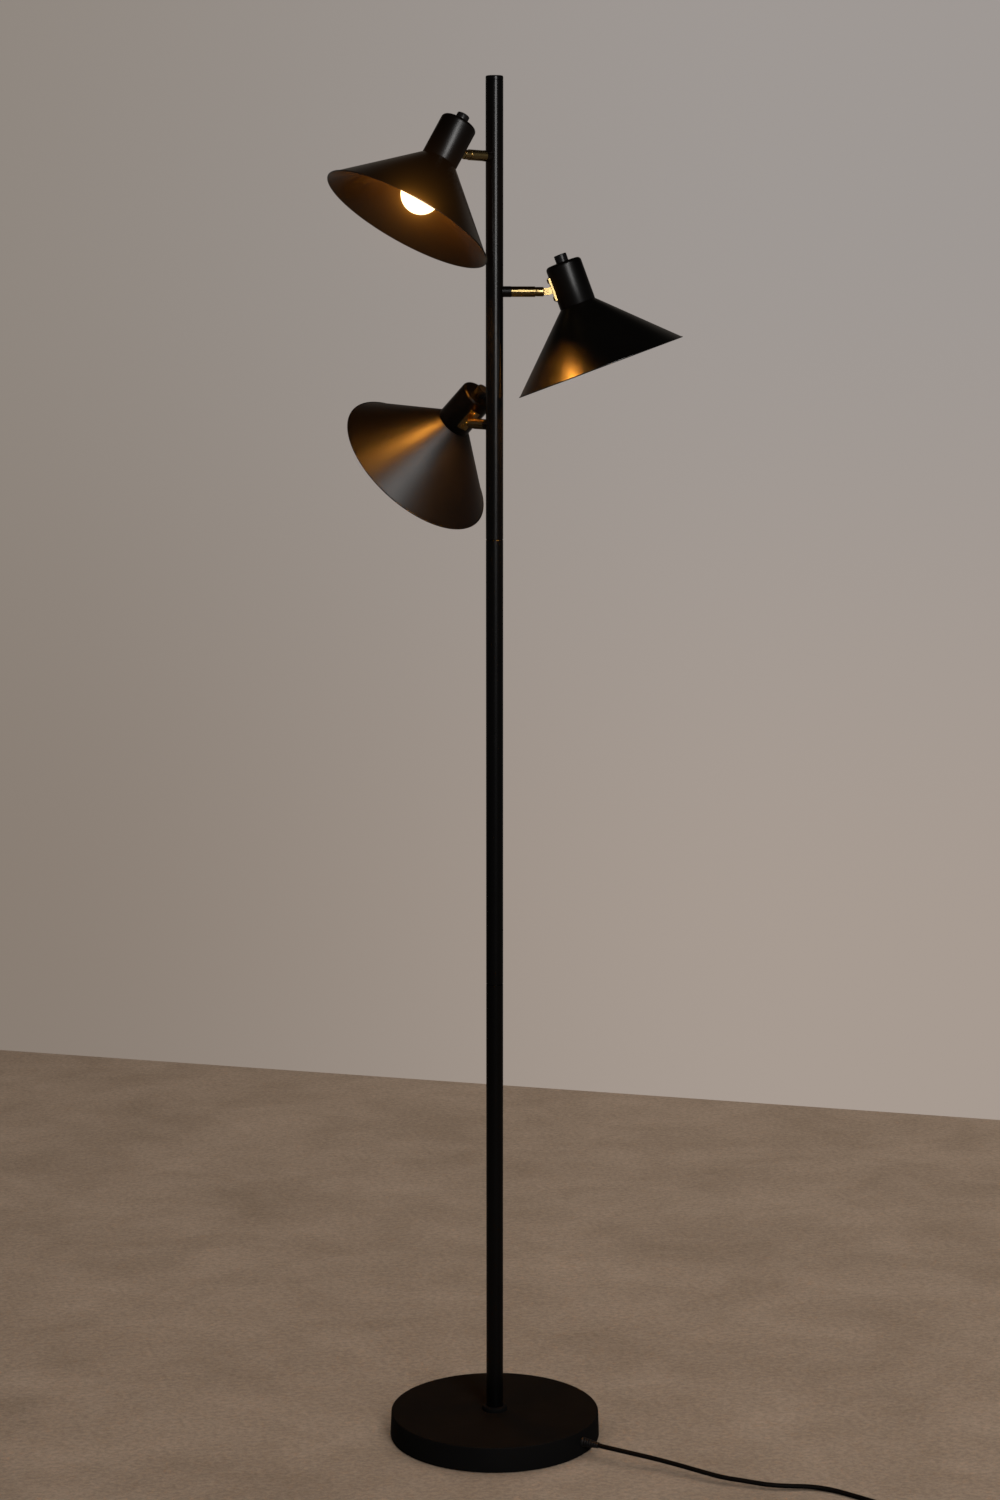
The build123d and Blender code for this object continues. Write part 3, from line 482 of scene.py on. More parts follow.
# %% Push buttons
BUTTON_OUTLINE = (
    (0, 33.85), (3.2, 33.9), (5.0, 34.1), (6.0, 34.42), (6.6, 34.42), (7.1, 34.15), (7.3, 33.7),
    (7.3, 28.3), (7.05, 28.1), (7.05, 27.6), (7.3, 27.4), (7.3, 23.75), (8.8, 23.75),
    (8.8, 21.75), (0, 21.75),
)  # fmt: skip
button_pattern = turned("push_button", BUTTON_OUTLINE, 56)
one_for_each_head(button_pattern, "button_{}", "black_plastic", "switch_button_{}")

# %% [markdown]
# ## Lampholders
# Inside each shade a black holder comes through the top, with the thread that its ring nut runs on
# and a rounded mouth around the bulb. The thread's turns are drawn as rings, which is what shows.

# %% Lampholders
THREAD_TOP, THREAD_PITCH, THREAD_TURNS = -26.4, 1.6, 6
HOLDER_RADIUS, HOLDER_BORE, THREAD_ROOT, FLANGE_RADIUS = 13.5, 7.5, 12.95, 19.78
holder_outline = [(0, 12.75), (13.2, 12.75), (HOLDER_RADIUS, 12.4), (HOLDER_RADIUS, -22.75)]
holder_outline += [(FLANGE_RADIUS, -22.75), (FLANGE_RADIUS, -25.25), (HOLDER_RADIUS, -25.25)]
for turn in range(THREAD_TURNS):
    top = THREAD_TOP - THREAD_PITCH * turn
    holder_outline += [(HOLDER_RADIUS, top), (THREAD_ROOT, top - 0.55)]
    holder_outline += [(THREAD_ROOT, top - 0.85), (HOLDER_RADIUS, top - 1.4)]
holder_outline += [(HOLDER_RADIUS, -37.2), (13.2, -37.8), (12.6, -38.0), (8.3, -38.0), (7.7, -37.8)]
holder_outline += [(HOLDER_BORE, -37.2), (HOLDER_BORE, -12.6), (0, -12.6)]
holder_pattern = turned("threaded_holder", holder_outline, sharper_than=28)
one_for_each_head(holder_pattern, "head_{}", "black_plastic", "lampholder_{}")

# %% [markdown]
# ## Ring nuts
# The nut that holds the shade is a flat ring with notches all round for the fingers. A circle is
# extruded inwards to a ring and then up to its height, and every third face of its outside is inset
# and pushed in. Picking by a test, extruding, cutting and boxes come again below, so they are helpers.

# %% Helpers for edited pieces
# A face looks along an axis when that part of its normal is above this.
FACING = 0.9


def pick(piece, kind, wanted):
    """Selects the faces, edges or corners of the mesh being edited that pass a test."""
    bpy.ops.mesh.select_all(action="DESELECT")
    bpy.ops.mesh.select_mode(type=kind)
    mesh = bmesh.from_edit_mesh(piece.data)
    choice = {"FACE": mesh.faces, "EDGE": mesh.edges, "VERT": mesh.verts}[kind]
    for item in choice:
        item.select_set(wanted(item))
    bmesh.update_edit_mesh(piece.data)
    return sum(item.select for item in choice)


def pick_faces(piece, wanted):
    """Selects faces by a test of their middle, in millimetres, and their normal."""
    return pick(piece, "FACE", lambda face: wanted(face.calc_center_median() / MM, face.normal))


def extrude(step_mm):
    """Extrudes what is selected along Z."""
    bpy.ops.mesh.extrude_region_move(TRANSFORM_OT_translate={"value": (0, 0, step_mm * MM)})


def cut_across(reach_mm):
    """Cuts the whole mesh being edited across its X axis."""
    bpy.ops.mesh.select_all(action="SELECT")
    bpy.ops.mesh.bisect(plane_co=(reach_mm * MM, 0, 0), plane_no=(1, 0, 0))


def box(name, middle_mm, size_mm):
    """A box given by its middle and its three sides."""
    bpy.ops.mesh.primitive_cube_add(size=1.0, location=Vector(middle_mm) * MM)
    piece = bpy.context.object
    piece.name = piece.data.name = name
    piece.scale = Vector(size_mm) * MM
    bpy.ops.object.transform_apply(location=True, rotation=False, scale=True)
    return piece


# %% Ring nuts
RING_OUTSIDE, RING_INSIDE, RING_TOP, RING_HEIGHT, RING_FACETS = 18.0, 13.55, -26.25, 5.0, 72
NOTCH_MARGIN, NOTCH_DEPTH, RING_ROUND = 0.25, 0.9, 0.22
bpy.ops.mesh.primitive_circle_add(
    vertices=RING_FACETS, radius=RING_OUTSIDE * MM, location=(0, 0, (RING_TOP - RING_HEIGHT) * MM)
)
ring_pattern = bpy.context.object
ring_pattern.name = "ring_nut"
bpy.ops.object.transform_apply(location=True, rotation=False, scale=False)
bpy.ops.object.mode_set(mode="EDIT")
bpy.ops.mesh.select_all(action="SELECT")
inwards = RING_INSIDE / RING_OUTSIDE
extrude(0)
bpy.ops.transform.resize(value=(inwards, inwards, 1.0), center_override=(0, 0, 0))
bpy.ops.mesh.select_all(action="SELECT")
extrude(RING_HEIGHT)
bpy.ops.mesh.select_all(action="SELECT")
bpy.ops.mesh.normals_make_consistent(inside=False)


def is_notch(middle, normal):
    """True for every third face of the ring's outside."""
    if abs(normal.z) > 0.5 or middle.xy.length < (RING_OUTSIDE + RING_INSIDE) / 2:
        return False
    number = round(math.atan2(middle.y, middle.x) / (2 * math.pi / RING_FACETS) - 0.5)
    return number % 3 == 0


notches = pick_faces(ring_pattern, is_notch)
bpy.ops.mesh.inset(thickness=NOTCH_MARGIN * MM, depth=-NOTCH_DEPTH * MM, use_individual=True)
bpy.ops.object.mode_set(mode="OBJECT")
soften(ring_pattern, RING_ROUND, 2)
print("notches in a ring", notches)
one_for_each_head(ring_pattern, "head_{}", "black_plastic", "shade_ring_{}")

# %% [markdown]
# ## Bracket screws
# Two small pan-head screws hold each brass plate to its cap. A screw starts as a cylinder whose upper
# edge is bevelled round. Eight bisecting cuts mark a cross on its top, the cross is pushed down for the
# driver, and the shank is drawn out of the underside.

# %% One bracket screw
HEAD_RADIUS, HEAD_HEIGHT, SHANK_RADIUS, SHANK_LENGTH = 2.5, 1.6, 1.5, 7.7
CROSS_ARM, CROSS_HALF_WIDTH, CROSS_DEPTH, CROSS_TAPER = 1.35, 0.32, 0.9, 0.75
HEAD_ROUND = 0.8
ON_TOP = HEAD_HEIGHT - 0.05
bpy.ops.mesh.primitive_cylinder_add(
    vertices=32, radius=HEAD_RADIUS * MM, depth=HEAD_HEIGHT * MM, location=(0, 0, HEAD_HEIGHT / 2 * MM)
)
screw_pattern = bpy.context.object
bpy.ops.object.transform_apply(location=True, rotation=False, scale=False)
bpy.ops.object.mode_set(mode="EDIT")
pick_faces(screw_pattern, lambda middle, normal: normal.z < -FACING)
bpy.ops.mesh.inset(thickness=(HEAD_RADIUS - SHANK_RADIUS) * MM, depth=0)
extrude(-SHANK_LENGTH)
pick_faces(screw_pattern, lambda middle, normal: normal.z > FACING)
bpy.ops.mesh.bevel(offset=HEAD_ROUND * MM, segments=5, profile=0.6, affect="EDGES")
for side in (-CROSS_ARM, -CROSS_HALF_WIDTH, CROSS_HALF_WIDTH, CROSS_ARM):
    for way in ((1, 0, 0), (0, 1, 0)):
        pick_faces(screw_pattern, lambda middle, normal: normal.z > FACING and middle.z > ON_TOP)
        bpy.ops.mesh.bisect(plane_co=Vector(way) * side * MM, plane_no=way)


def in_cross(middle, normal):
    """True for the faces of the cross on the screw's top."""
    if normal.z < FACING or middle.z < ON_TOP:
        return False
    near, far = sorted((abs(middle.x), abs(middle.y)))
    return near < CROSS_HALF_WIDTH and far < CROSS_ARM


cross_faces = pick_faces(screw_pattern, in_cross)
extrude(-CROSS_DEPTH)
bpy.ops.transform.resize(value=(CROSS_TAPER, CROSS_TAPER, 1.0), center_override=(0, 0, 0))
bpy.ops.object.mode_set(mode="OBJECT")
smooth(screw_pattern, 40)
print("screw with", len(screw_pattern.data.polygons), "faces,", cross_faces, "in its cross")

# %% Screws in their plates
PLATE_FACE, SCREW_SPACING = 22.5, 21.0
SCREW_TURNS = {-0.5: 0.4, 0.5: 1.1}
for name in HEADS:
    pair = []
    for side, turn in SCREW_TURNS.items():
        screw = copy_of(screw_pattern, f"bracket_screws_pair_{name}")
        on_plate = Vector((-PLATE_FACE, 0, side * SCREW_SPACING)) * MM
        facing_pole = standing_place(on_plate, (-1, 0, 0), (0, 0, 1))
        settle(screw, head_place[name] @ facing_pole @ Matrix.Rotation(turn, 4, "Z"))
        pair.append(screw)
    put_on(joined(pair), f"head_{name}", "brass", f"bracket_screws_{name}")
only(screw_pattern)
bpy.ops.object.delete()
print("screw pairs", len(HEADS))

# %% [markdown]
# ## Strain relief
# A soft ribbed sleeve guards the lead where it leaves the base. It is turned too: a flange inside the
# wall, a neck through it, a collar outside, and then ribs and grooves that taper to the lead.

# %% Strain relief
EXIT_BEARING = math.radians(-34.0)
EXIT_HEIGHT = 17.0
RIB_START, RIB_PITCH, RIBS, GROOVE_DEPTH = 129.6, 3.15, 5, 1.25
TAPER_START, SLEEVE_TIP = 128.26, 147.26
TAPER_WIDE, TAPER_NARROW = 5.3, 3.7


def taper(reach):
    """Radius of the sleeve's outside at a distance from the pole's axis."""
    share = (reach - TAPER_START) / (SLEEVE_TIP - TAPER_START)
    return TAPER_WIDE + (TAPER_NARROW - TAPER_WIDE) * share


sleeve_outline = [(0, 120.16), (5.2, 120.16), (5.5, 120.5), (5.5, 123.16), (4.3, 123.16)]
sleeve_outline += [(4.3, 125.26), (5.1, 125.26), (5.5, 125.6), (5.5, 127.9), (5.2, TAPER_START)]
for rib in range(RIBS):
    begin = RIB_START + RIB_PITCH * rib
    groove = taper(begin) - GROOVE_DEPTH
    sleeve_outline += [(groove, begin - 1.15), (groove, begin - 0.15), (taper(begin) - 0.15, begin)]
    sleeve_outline += [(taper(begin), begin + 0.3), (taper(begin + 1.6), begin + 1.6)]
    sleeve_outline += [(taper(begin + 1.9) - 0.15, begin + 1.85)]
sleeve_outline += [(3.1, 144.2), (3.1, 145.0), (TAPER_NARROW, 145.3), (TAPER_NARROW, 146.8)]
sleeve_outline += [(3.4, SLEEVE_TIP), (0, SLEEVE_TIP)]
strain_relief = turned("ribbed_sleeve", sleeve_outline, 48, 40)
exit_way = Vector((math.cos(EXIT_BEARING), math.sin(EXIT_BEARING), 0))
settle(strain_relief, standing_place((0, 0, EXIT_HEIGHT * MM), exit_way, (0, 0, 1)))
put_on(strain_relief, "stand", "black_plastic", "cord_strain_relief")
print("sleeve with", len(strain_relief.data.polygons), "faces")

# %% [markdown]
# ## Strap round the coil
# A hook-and-loop strap holds the put-away turns. It starts as a box round them: the two open ends are
# deleted, the four long edges are bevelled to a soft loop, and Solidify gives the band its thickness.
# A second layer on top is the end of the strap, pressed down over itself.

# %% Strap round the coil
STRAP_NEAR, STRAP_FAR, STRAP_TOP, STRAP_WIDTH, STRAP_THICK = 18.7, 48.85, 15.7, 9.0, 1.2
STRAP_BEND, STRAP_EDGE = 4.0, 0.3
LAP_START, LAP_THICK = STRAP_NEAR + 8, 1.0
coil_place = standing_place(COIL_CENTRE * MM, (0, 0, 1), -coil_out)
strap = box(
    "coil_strap",
    ((STRAP_NEAR + STRAP_FAR) / 2, 0, STRAP_TOP / 2),
    (STRAP_FAR - STRAP_NEAR, STRAP_WIDTH, STRAP_TOP),
)
bpy.ops.object.mode_set(mode="EDIT")
pick_faces(strap, lambda middle, normal: abs(normal.y) > FACING)
bpy.ops.mesh.delete(type="FACE")
pick(strap, "EDGE", lambda edge: abs(edge.verts[0].co.y - edge.verts[1].co.y) > STRAP_WIDTH / 2 * MM)
bpy.ops.mesh.bevel(offset=STRAP_BEND * MM, segments=6, affect="EDGES")
bpy.ops.object.mode_set(mode="OBJECT")
only(strap)
bpy.ops.object.modifier_add(type="SOLIDIFY")
strap.modifiers[-1].thickness = STRAP_THICK * MM
strap.modifiers[-1].offset = -1.0
bpy.ops.object.modifier_apply(modifier=strap.modifiers[-1].name)
bpy.ops.object.mode_set(mode="EDIT")
cut_across(LAP_START)


def in_lap(middle, normal):
    """True for the strap's upper side from the start of the second layer on."""
    return normal.z > 0.95 and middle.z > STRAP_TOP - 0.1 and middle.x > LAP_START


layer = pick_faces(strap, in_lap)
extrude(LAP_THICK)
bpy.ops.object.mode_set(mode="OBJECT")
soften(strap, STRAP_EDGE, 2, 50)
settle(strap, coil_place)
put_on(strap, "stand", "black_plastic", "cord_tie")
print("strap with", len(strap.data.polygons), "faces, second layer from", layer)

# %% [markdown]
# ## Plug
# The lead ends in a flat two-pin plug, moulded in one with its lead. A box is cut across into
# sections, the sections near the lead are drawn in to a neck, Bevel rounds the block, and grip ribs
# are pushed into its two sides. The pins are turned, each with an insulating sleeve.

# %% Plug body
PLUG_START = Vector((481.7, -307.5, 7.0))
PLUG_WAY = Vector((0.342, -0.940, 0.0)).normalized()
PLUG_LENGTH, PLUG_WIDTH, PLUG_THICK, PLUG_ROUND = 38.0, 30.0, 14.0, 2.4
SECTIONS = {0.0: (0.30, 0.62), 4.0: (0.34, 0.70), 8.5: (0.62, 0.84), 12.7: (0.90, 0.96), 34.0: (1.0, 1.0)}
plug_place = standing_place(PLUG_START * MM, (0, 0, 1), PLUG_WAY)
plug = box("plug_body", (PLUG_LENGTH / 2, 0, 0), (PLUG_LENGTH, PLUG_WIDTH, PLUG_THICK))
bpy.ops.object.mode_set(mode="EDIT")
for place in SECTIONS:
    if place > 0:
        cut_across(place)
for place, (across, up) in SECTIONS.items():
    pick(plug, "VERT", lambda corner: abs(corner.co.x - place * MM) < 0.1 * MM)
    bpy.ops.transform.resize(value=(1.0, across, up), center_override=(place * MM, 0, 0))
bpy.ops.object.mode_set(mode="OBJECT")
soften(plug, PLUG_ROUND, 5, 30)
print("plug block", [round(v * 1000, 1) for v in plug.dimensions])

# %% Grip ribs of the plug
GRIP_START, GRIP_STEP, GRIPS, GRIP_MARGIN, GRIP_DEPTH = 15.0, 2.0, 9, 0.2, 0.8
bpy.ops.object.mode_set(mode="EDIT")
for cut in range(GRIPS + 1):
    cut_across(GRIP_START + GRIP_STEP * cut)


def in_groove(middle, normal):
    """True for every second strip of the plug's two sides."""
    strip = (middle.x - GRIP_START) / GRIP_STEP
    return abs(normal.y) > FACING and 0 < strip < GRIPS and int(strip) % 2 == 0


grooves = pick_faces(plug, in_groove)
bpy.ops.mesh.inset(thickness=GRIP_MARGIN * MM, depth=-GRIP_DEPTH * MM, use_individual=False)
bpy.ops.object.mode_set(mode="OBJECT")
smooth(plug, 30)
settle(plug, plug_place)
put_on(plug, "stand", "black_plastic", "mains_plug")
print("grip grooves", grooves)

# %% Plug pins
PIN_SPACING = 18.6
PIN_OUTLINE = (
    (0, -4), (1.85, -4), (1.85, 9.8), (1.6, 10.0), (1.6, 10.3), (2.0, 10.5), (2.0, 17.8), (1.6, 18.7),
    (0.9, 19.0), (0, 19.0),
)  # fmt: skip
pin_pattern = turned("plug_pins", PIN_OUTLINE, 24, 35)
pin_pair = []
for side in (-0.5, 0.5):
    pin = copy_of(pin_pattern, "plug_pins")
    root = Vector((PLUG_LENGTH, side * PIN_SPACING, 0)) * MM
    settle(pin, plug_place @ standing_place(root, (1, 0, 0), (0, 0, 1)))
    pin_pair.append(pin)
only(pin_pattern)
bpy.ops.object.delete()
plug_pins = joined(pin_pair)
plug_pins.name = plug_pins.data.name = "plug_pins"
put_on(plug_pins, "stand", "steel")
print("pins with", len(plug_pins.data.polygons), "faces")

# %% [markdown]
# ## The lead, its strap and its plug are made above; this cell only prints the lead's given length.
# A lead is soft, and another scene may want to lay it out anew.

# %% The lead with its strap and plug
print("lead of", LEAD_LENGTH, "m is declared")

# %% [markdown]
# ## Shader groups
# Several finishes share the same small effects: the fine grain of a sprayed or moulded skin, dust that
# settles on what faces up, the rub marks of hands, and the fine lines that a lathe or a polishing wheel
# leaves. Each effect is one node group, placed in every material that needs it with its own values.
# All of them read Object coordinates, so a pattern stays on its piece when a head is tilted.


# %% Helpers for shader groups
def spread(tree, value, low, high, to_low=0.0, to_high=1.0):
    """Stretches a value from one range to another, and clamps it."""
    made = add(tree, "MapRange", Value=value, From_Min=low, From_Max=high, To_Min=to_low, To_Max=to_high)
    return made.outputs["Result"]


def between(tree, value, low, high):
    """Stretches noise, most of which lies between 0.3 and 0.7, to a range of its own."""
    return spread(tree, value, 0.3, 0.7, low, high)


def combined(tree, operation, *values):
    """One step of arithmetic with up to three values."""
    made = add(tree, "Math")
    made.operation = operation
    for socket, value in zip(made.inputs, values):
        fill(tree, socket, value)
    return made.outputs["Value"]


def times(tree, first, second):
    """One value times another."""
    return combined(tree, "MULTIPLY", first, second)


def raised(tree, value, other, share):
    """A value with a share of another one added."""
    return combined(tree, "MULTIPLY_ADD", other, share, value)


def noise(tree, vector, scale, detail=2.0, roughness=0.5, distortion=0.0):
    """Soft noise between 0 and 1."""
    made = add(tree, "TexNoise", Vector=vector, Scale=scale, Detail=detail)
    feed(tree, made, Roughness=roughness, Distortion=distortion)
    return made.outputs["Fac"]


def object_place(tree):
    """Object coordinates."""
    return add(tree, "TexCoord").outputs["Object"]


def shader_group(name, inputs, outputs):
    """An empty node group, the values that go in and the node that takes the results."""
    group = bpy.data.node_groups.new(name, "ShaderNodeTree")
    for label, value in inputs.items():
        kind = "NodeSocketVector" if value is None else "NodeSocketFloat"
        socket = group.interface.new_socket(label, in_out="INPUT", socket_type=kind)
        if value is not None:
            socket.default_value = value
    for label in outputs:
        group.interface.new_socket(label, in_out="OUTPUT", socket_type="NodeSocketFloat")
    return group, group.nodes.new("NodeGroupInput").outputs, group.nodes.new("NodeGroupOutput")


def placed(tree, group, **values):
    """Puts a node group in a material with its own values."""
    made = add(tree, "Group")
    made.node_tree = group
    feed(tree, made, **values)
    return made.outputs


# %% Grain of a sprayed or moulded skin
skin_grain, given, result = shader_group(
    "skin_grain", {"Fineness": 900.0, "Patch Size": 16.0}, ("Height", "Patch")
)
place = object_place(skin_grain)
peel = noise(skin_grain, place, given["Fineness"], 2.0, 0.6)
wide = noise(skin_grain, place, times(skin_grain, given["Fineness"], 0.22), 1.0)
patch = noise(skin_grain, place, given["Patch Size"], 4.0, 0.6, 0.4)
feed(skin_grain, result, Height=raised(skin_grain, peel, wide, 0.8), Patch=patch)
print("group", skin_grain.name)

# %% Dust that settles on what faces up
settled_dust, given, result = shader_group("settled_dust", {"Amount": 0.2}, ("Dust",))
where = add(settled_dust, "TexCoord").outputs
facing = add(settled_dust, "SeparateXYZ", Vector=where["Normal"])
upwards = spread(settled_dust, facing.outputs["Z"], 0.3, 1.0)
cloud = noise(settled_dust, where["Object"], 35.0, 5.0, 0.65)
speck = noise(settled_dust, where["Object"], 1500.0, 1.0)
film = combined(settled_dust, "ADD", spread(settled_dust, speck, 0.66, 0.74), 0.25)
film = times(settled_dust, spread(settled_dust, cloud, 0.35, 0.75, 0.2, 1.0), film)
dust = times(settled_dust, times(settled_dust, film, upwards), given["Amount"])
feed(settled_dust, result, Dust=dust)
print("group", settled_dust.name)

# %% Rub marks of hands and cloths
rub_marks, given, result = shader_group("rub_marks", {"Size": 40.0}, ("Smudge", "Scratch"))
place = object_place(rub_marks)
smudge = spread(rub_marks, noise(rub_marks, place, given["Size"], 3.0, 0.55, 1.2), 0.42, 0.72)
cells = add(rub_marks, "TexVoronoi", Vector=place, Randomness=1.0)
feed(rub_marks, cells, Scale=times(rub_marks, given["Size"], 3.0))
cells.feature = "DISTANCE_TO_EDGE"
hair = spread(rub_marks, cells.outputs["Distance"], 0.0, 0.018, 1.0, 0.0)
feed(rub_marks, result, Smudge=smudge, Scratch=times(rub_marks, hair, smudge))
print("group", rub_marks.name)

# %% Lines of a lathe or a polishing wheel
turning_lines, given, result = shader_group(
    "turning_lines", {"Vector": None, "Fineness": 2500.0}, ("Height", "Band")
)
squeeze = add(turning_lines, "Mapping", Vector=given["Vector"], Scale=(0.02, 0.02, 1.0)).outputs["Vector"]
lines = noise(turning_lines, squeeze, given["Fineness"], 3.0, 0.7)
bands = noise(turning_lines, squeeze, times(turning_lines, given["Fineness"], 0.06), 2.0)
feed(turning_lines, result, Height=lines, Band=bands)
print("group", turning_lines.name)

# %% [markdown]
# ## Black paint
# Nearly everything is painted black, but not in one way. The shades and caps have a satin coat with a
# faint orange peel, the pole has a finer one, and the base has a flat, coarse coat. The shades are spun
# from sheet, so very faint rings run round them, which only their sheen shows. How dull and how glossy
# each head looks was tuned to the photograph, so every head has paints of its own.


# %% A material and its parts
def new_finish(name):
    """A material, its node tree and its Principled shader."""
    material = bpy.data.materials.new(name)
    material.use_nodes = True
    return material, material.node_tree, material.node_tree.nodes["Principled BSDF"]


def bumped(tree, shader, height, depth_mm):
    """Feeds a height to the shader as fine relief."""
    bump = add(tree, "Bump", Height=height, Strength=1.0, Distance=depth_mm * MM)
    feed(tree, shader, Normal=bump.outputs["Normal"])


def seen_from(tree, place):
    """Object coordinates as seen from a piece's own place, with Z along its axis."""
    mapping = add(tree, "Mapping", Vector=object_place(tree), Location=place.translation)
    feed(tree, mapping, Rotation=place.to_euler())
    mapping.vector_type = "TEXTURE"
    return mapping.outputs["Vector"]


def dappled(tree, mask, colour, swing):
    """A colour that wanders between a darker and a paler tone of itself."""
    darker, paler = (tuple(value * tone for value in colour) for tone in (1 - swing, 1 + swing))
    return mixed(tree, mask, darker, paler)


# %% Black paint
DUST_COLOUR = (0.16, 0.14, 0.12)


def black_paint(name, colour, roughness, fineness, depth_mm, gloss, dust=0.01, rings_of=None):
    """Black coat with orange peel, cloudy sheen, rub marks and a little dust."""
    material, tree, shader = new_finish(name)
    grain = placed(tree, skin_grain, Fineness=fineness, Patch_Size=14.0)
    marks = placed(tree, rub_marks, Size=26.0)
    dusty = placed(tree, settled_dust, Amount=dust)["Dust"]
    coat = dappled(tree, grain["Patch"], colour, 0.25)
    sheen = between(tree, grain["Patch"], roughness - 0.012, roughness + 0.012)
    sheen = raised(tree, sheen, marks["Smudge"], 0.015)
    if rings_of is not None:
        rings = placed(tree, turning_lines, Vector=seen_from(tree, rings_of), Fineness=900.0)
        sheen = raised(tree, sheen, rings["Band"], 0.02)
    feed(tree, shader, Base_Color=mixed(tree, dusty, coat, DUST_COLOUR), Specular_IOR_Level=gloss)
    feed(tree, shader, Roughness=raised(tree, sheen, dusty, 0.5))
    bumped(tree, shader, grain["Height"], depth_mm)
    return material


SHADE_BLACK, CAP_BLACK = (0.0016, 0.0010, 0.0005), (0.0018, 0.0017, 0.0017)
POLE_BLACK, BASE_BLACK = (0.0016, 0.0016, 0.0017), (0.0068, 0.0067, 0.0069)
SHADE_COATS = {"upper": (0.22, 1.0), "middle": (0.28, 1.0), "lower": (0.37, 0.46)}
CAP_GLOSS = {"upper": 0.42, "middle": 0.36, "lower": 0.20}
shade_paint, cap_paint = {}, {}
for name in HEADS:
    sheen, gloss = SHADE_COATS[name]
    shade_paint[name] = black_paint(
        f"shade_paint_{name}", SHADE_BLACK, sheen, 1100.0, 0.0035, gloss, rings_of=head_place[name]
    )
    cap_paint[name] = black_paint(f"cap_paint_{name}", CAP_BLACK, 0.31, 1300.0, 0.0015, CAP_GLOSS[name])
pole_paint = black_paint("pole_paint", POLE_BLACK, 0.25, 1500.0, 0.0003, 0.36)
base_paint = black_paint("base_paint", BASE_BLACK, 0.68, 800.0, 0.020, 0.07, dust=0.10)
print("paints", len(shade_paint) + len(cap_paint) + 2)

# %% [markdown]
# ## Brass
# The arms, knuckles and plates are polished brass under lacquer. A polishing wheel leaves faint lines
# round each arm, and such lines spread a mirrored light along the arm. So a light that stands to one
# side still draws a fine line from end to end. Anisotropic does this, with the arm's axis as the
# tangent. Handling leaves smudges, and the colour drifts a little towards brown where the lacquer is
# thin.

# %% Brass
BRASS, TARNISHED = (0.60, 0.43, 0.18), (0.46, 0.29, 0.095)


def polished_brass(name, place):
    """Brass with faint turning lines, smudges and a slight tarnish."""
    material, tree, shader = new_finish(name)
    lines = placed(tree, turning_lines, Vector=seen_from(tree, place), Fineness=6000.0)
    marks = placed(tree, rub_marks, Size=120.0)
    tarnish = noise(tree, object_place(tree), 90.0, 4.0, 0.6, 0.5)
    tone = mixed(tree, spread(tree, tarnish, 0.45, 0.8, 0.0, 0.2), BRASS, TARNISHED)
    sheen = between(tree, lines["Height"], 0.22, 0.24)
    sheen = raised(tree, sheen, marks["Smudge"], 0.015)
    feed(tree, shader, Base_Color=tone, Metallic=1.0, Roughness=raised(tree, sheen, marks["Scratch"], 0.02))
    along_arm = add(tree, "VectorTransform", Vector=place.to_3x3().col[2])
    along_arm.vector_type = "VECTOR"
    along_arm.convert_from, along_arm.convert_to = "OBJECT", "WORLD"
    feed(tree, shader, Anisotropic=0.9, Tangent=along_arm.outputs["Vector"])
    bumped(tree, shader, lines["Height"], 0.0002)
    return material


brass = {name: polished_brass(f"polished_brass_{name}", arm_place[name]) for name in HEADS}
print("brass finishes", len(brass))

# %% [markdown]
# ## Opal bulbs
# The bulbs are lit. Opal glass spreads the light over the whole globe, so the glass itself is the light
# here, in the deep warm colour of a small lamp, brightest round its sides and dimmer at its tip and at
# the neck by the screw base. The camera would see so strong a glow as flat white. So its own rays meet
# a much milder dazzle, and all the others meet the full glow.

# %% Opal bulbs
BULB_DEPTH = 68.0
NECK_START, NECK_END, TIP_REACH = 12.0, 27.0, 22.0
GLOW = 400.0
SIDE_GLOWS = ((1.0, 0.36, 0.040), (1.0, 0.38, 0.047))
TIP_GLOW, NECK_GLOW = (0.30, 0.115, 0.015), (0.30, 0.08, 0.006)
DAZZLES = ((0.0085, 0.0060, 0.0030), (0.0040, 0.0014, 0.0002))
OPAL_TONES = ((0.80, 0.76, 0.70), (0.86, 0.83, 0.78))


def opal_glow(name, place):
    """Warm glowing glass that is dimmer at its tip and its neck."""
    material, tree, shader = new_finish(name)
    height = add(tree, "SeparateXYZ", Vector=seen_from(tree, place)).outputs["Z"]
    towards_neck = spread(tree, height, (NECK_START - BULB_DEPTH) * MM, (NECK_END - BULB_DEPTH) * MM)
    towards_tip = spread(tree, height, -BULB_DEPTH * MM, (-BULB_DEPTH - TIP_REACH) * MM)
    cloudy = noise(tree, object_place(tree), 60.0, 2.0)
    shining = mixed(tree, between(tree, cloudy, 0.0, 1.0), *SIDE_GLOWS)
    shining = mixed(tree, towards_tip, shining, TIP_GLOW)
    shining = mixed(tree, towards_neck, shining, NECK_GLOW)
    in_view = add(tree, "LightPath").outputs["Is Camera Ray"]
    light = mixed(tree, in_view, shining, mixed(tree, towards_neck, *DAZZLES))
    feed(tree, shader, Emission_Color=light, Emission_Strength=GLOW)
    feed(tree, shader, Base_Color=mixed(tree, cloudy, *OPAL_TONES))
    feed(tree, shader, Roughness=between(tree, cloudy, 0.22, 0.30))
    return material


opal = {name: opal_glow(f"opal_glow_{name}", head_place[name]) for name in HEADS}
print("bulbs glow at", GLOW)

# %% [markdown]
# ## Bulb light and the floor
# The glow is turned up until the black paint mirrors it about as brightly as in the photograph. The pale
# floor would answer the same glow with an orange pool that the photograph doesn't show. Light linking
# keeps it off: a collection that excludes the floor is the receiver of the bulbs' light.

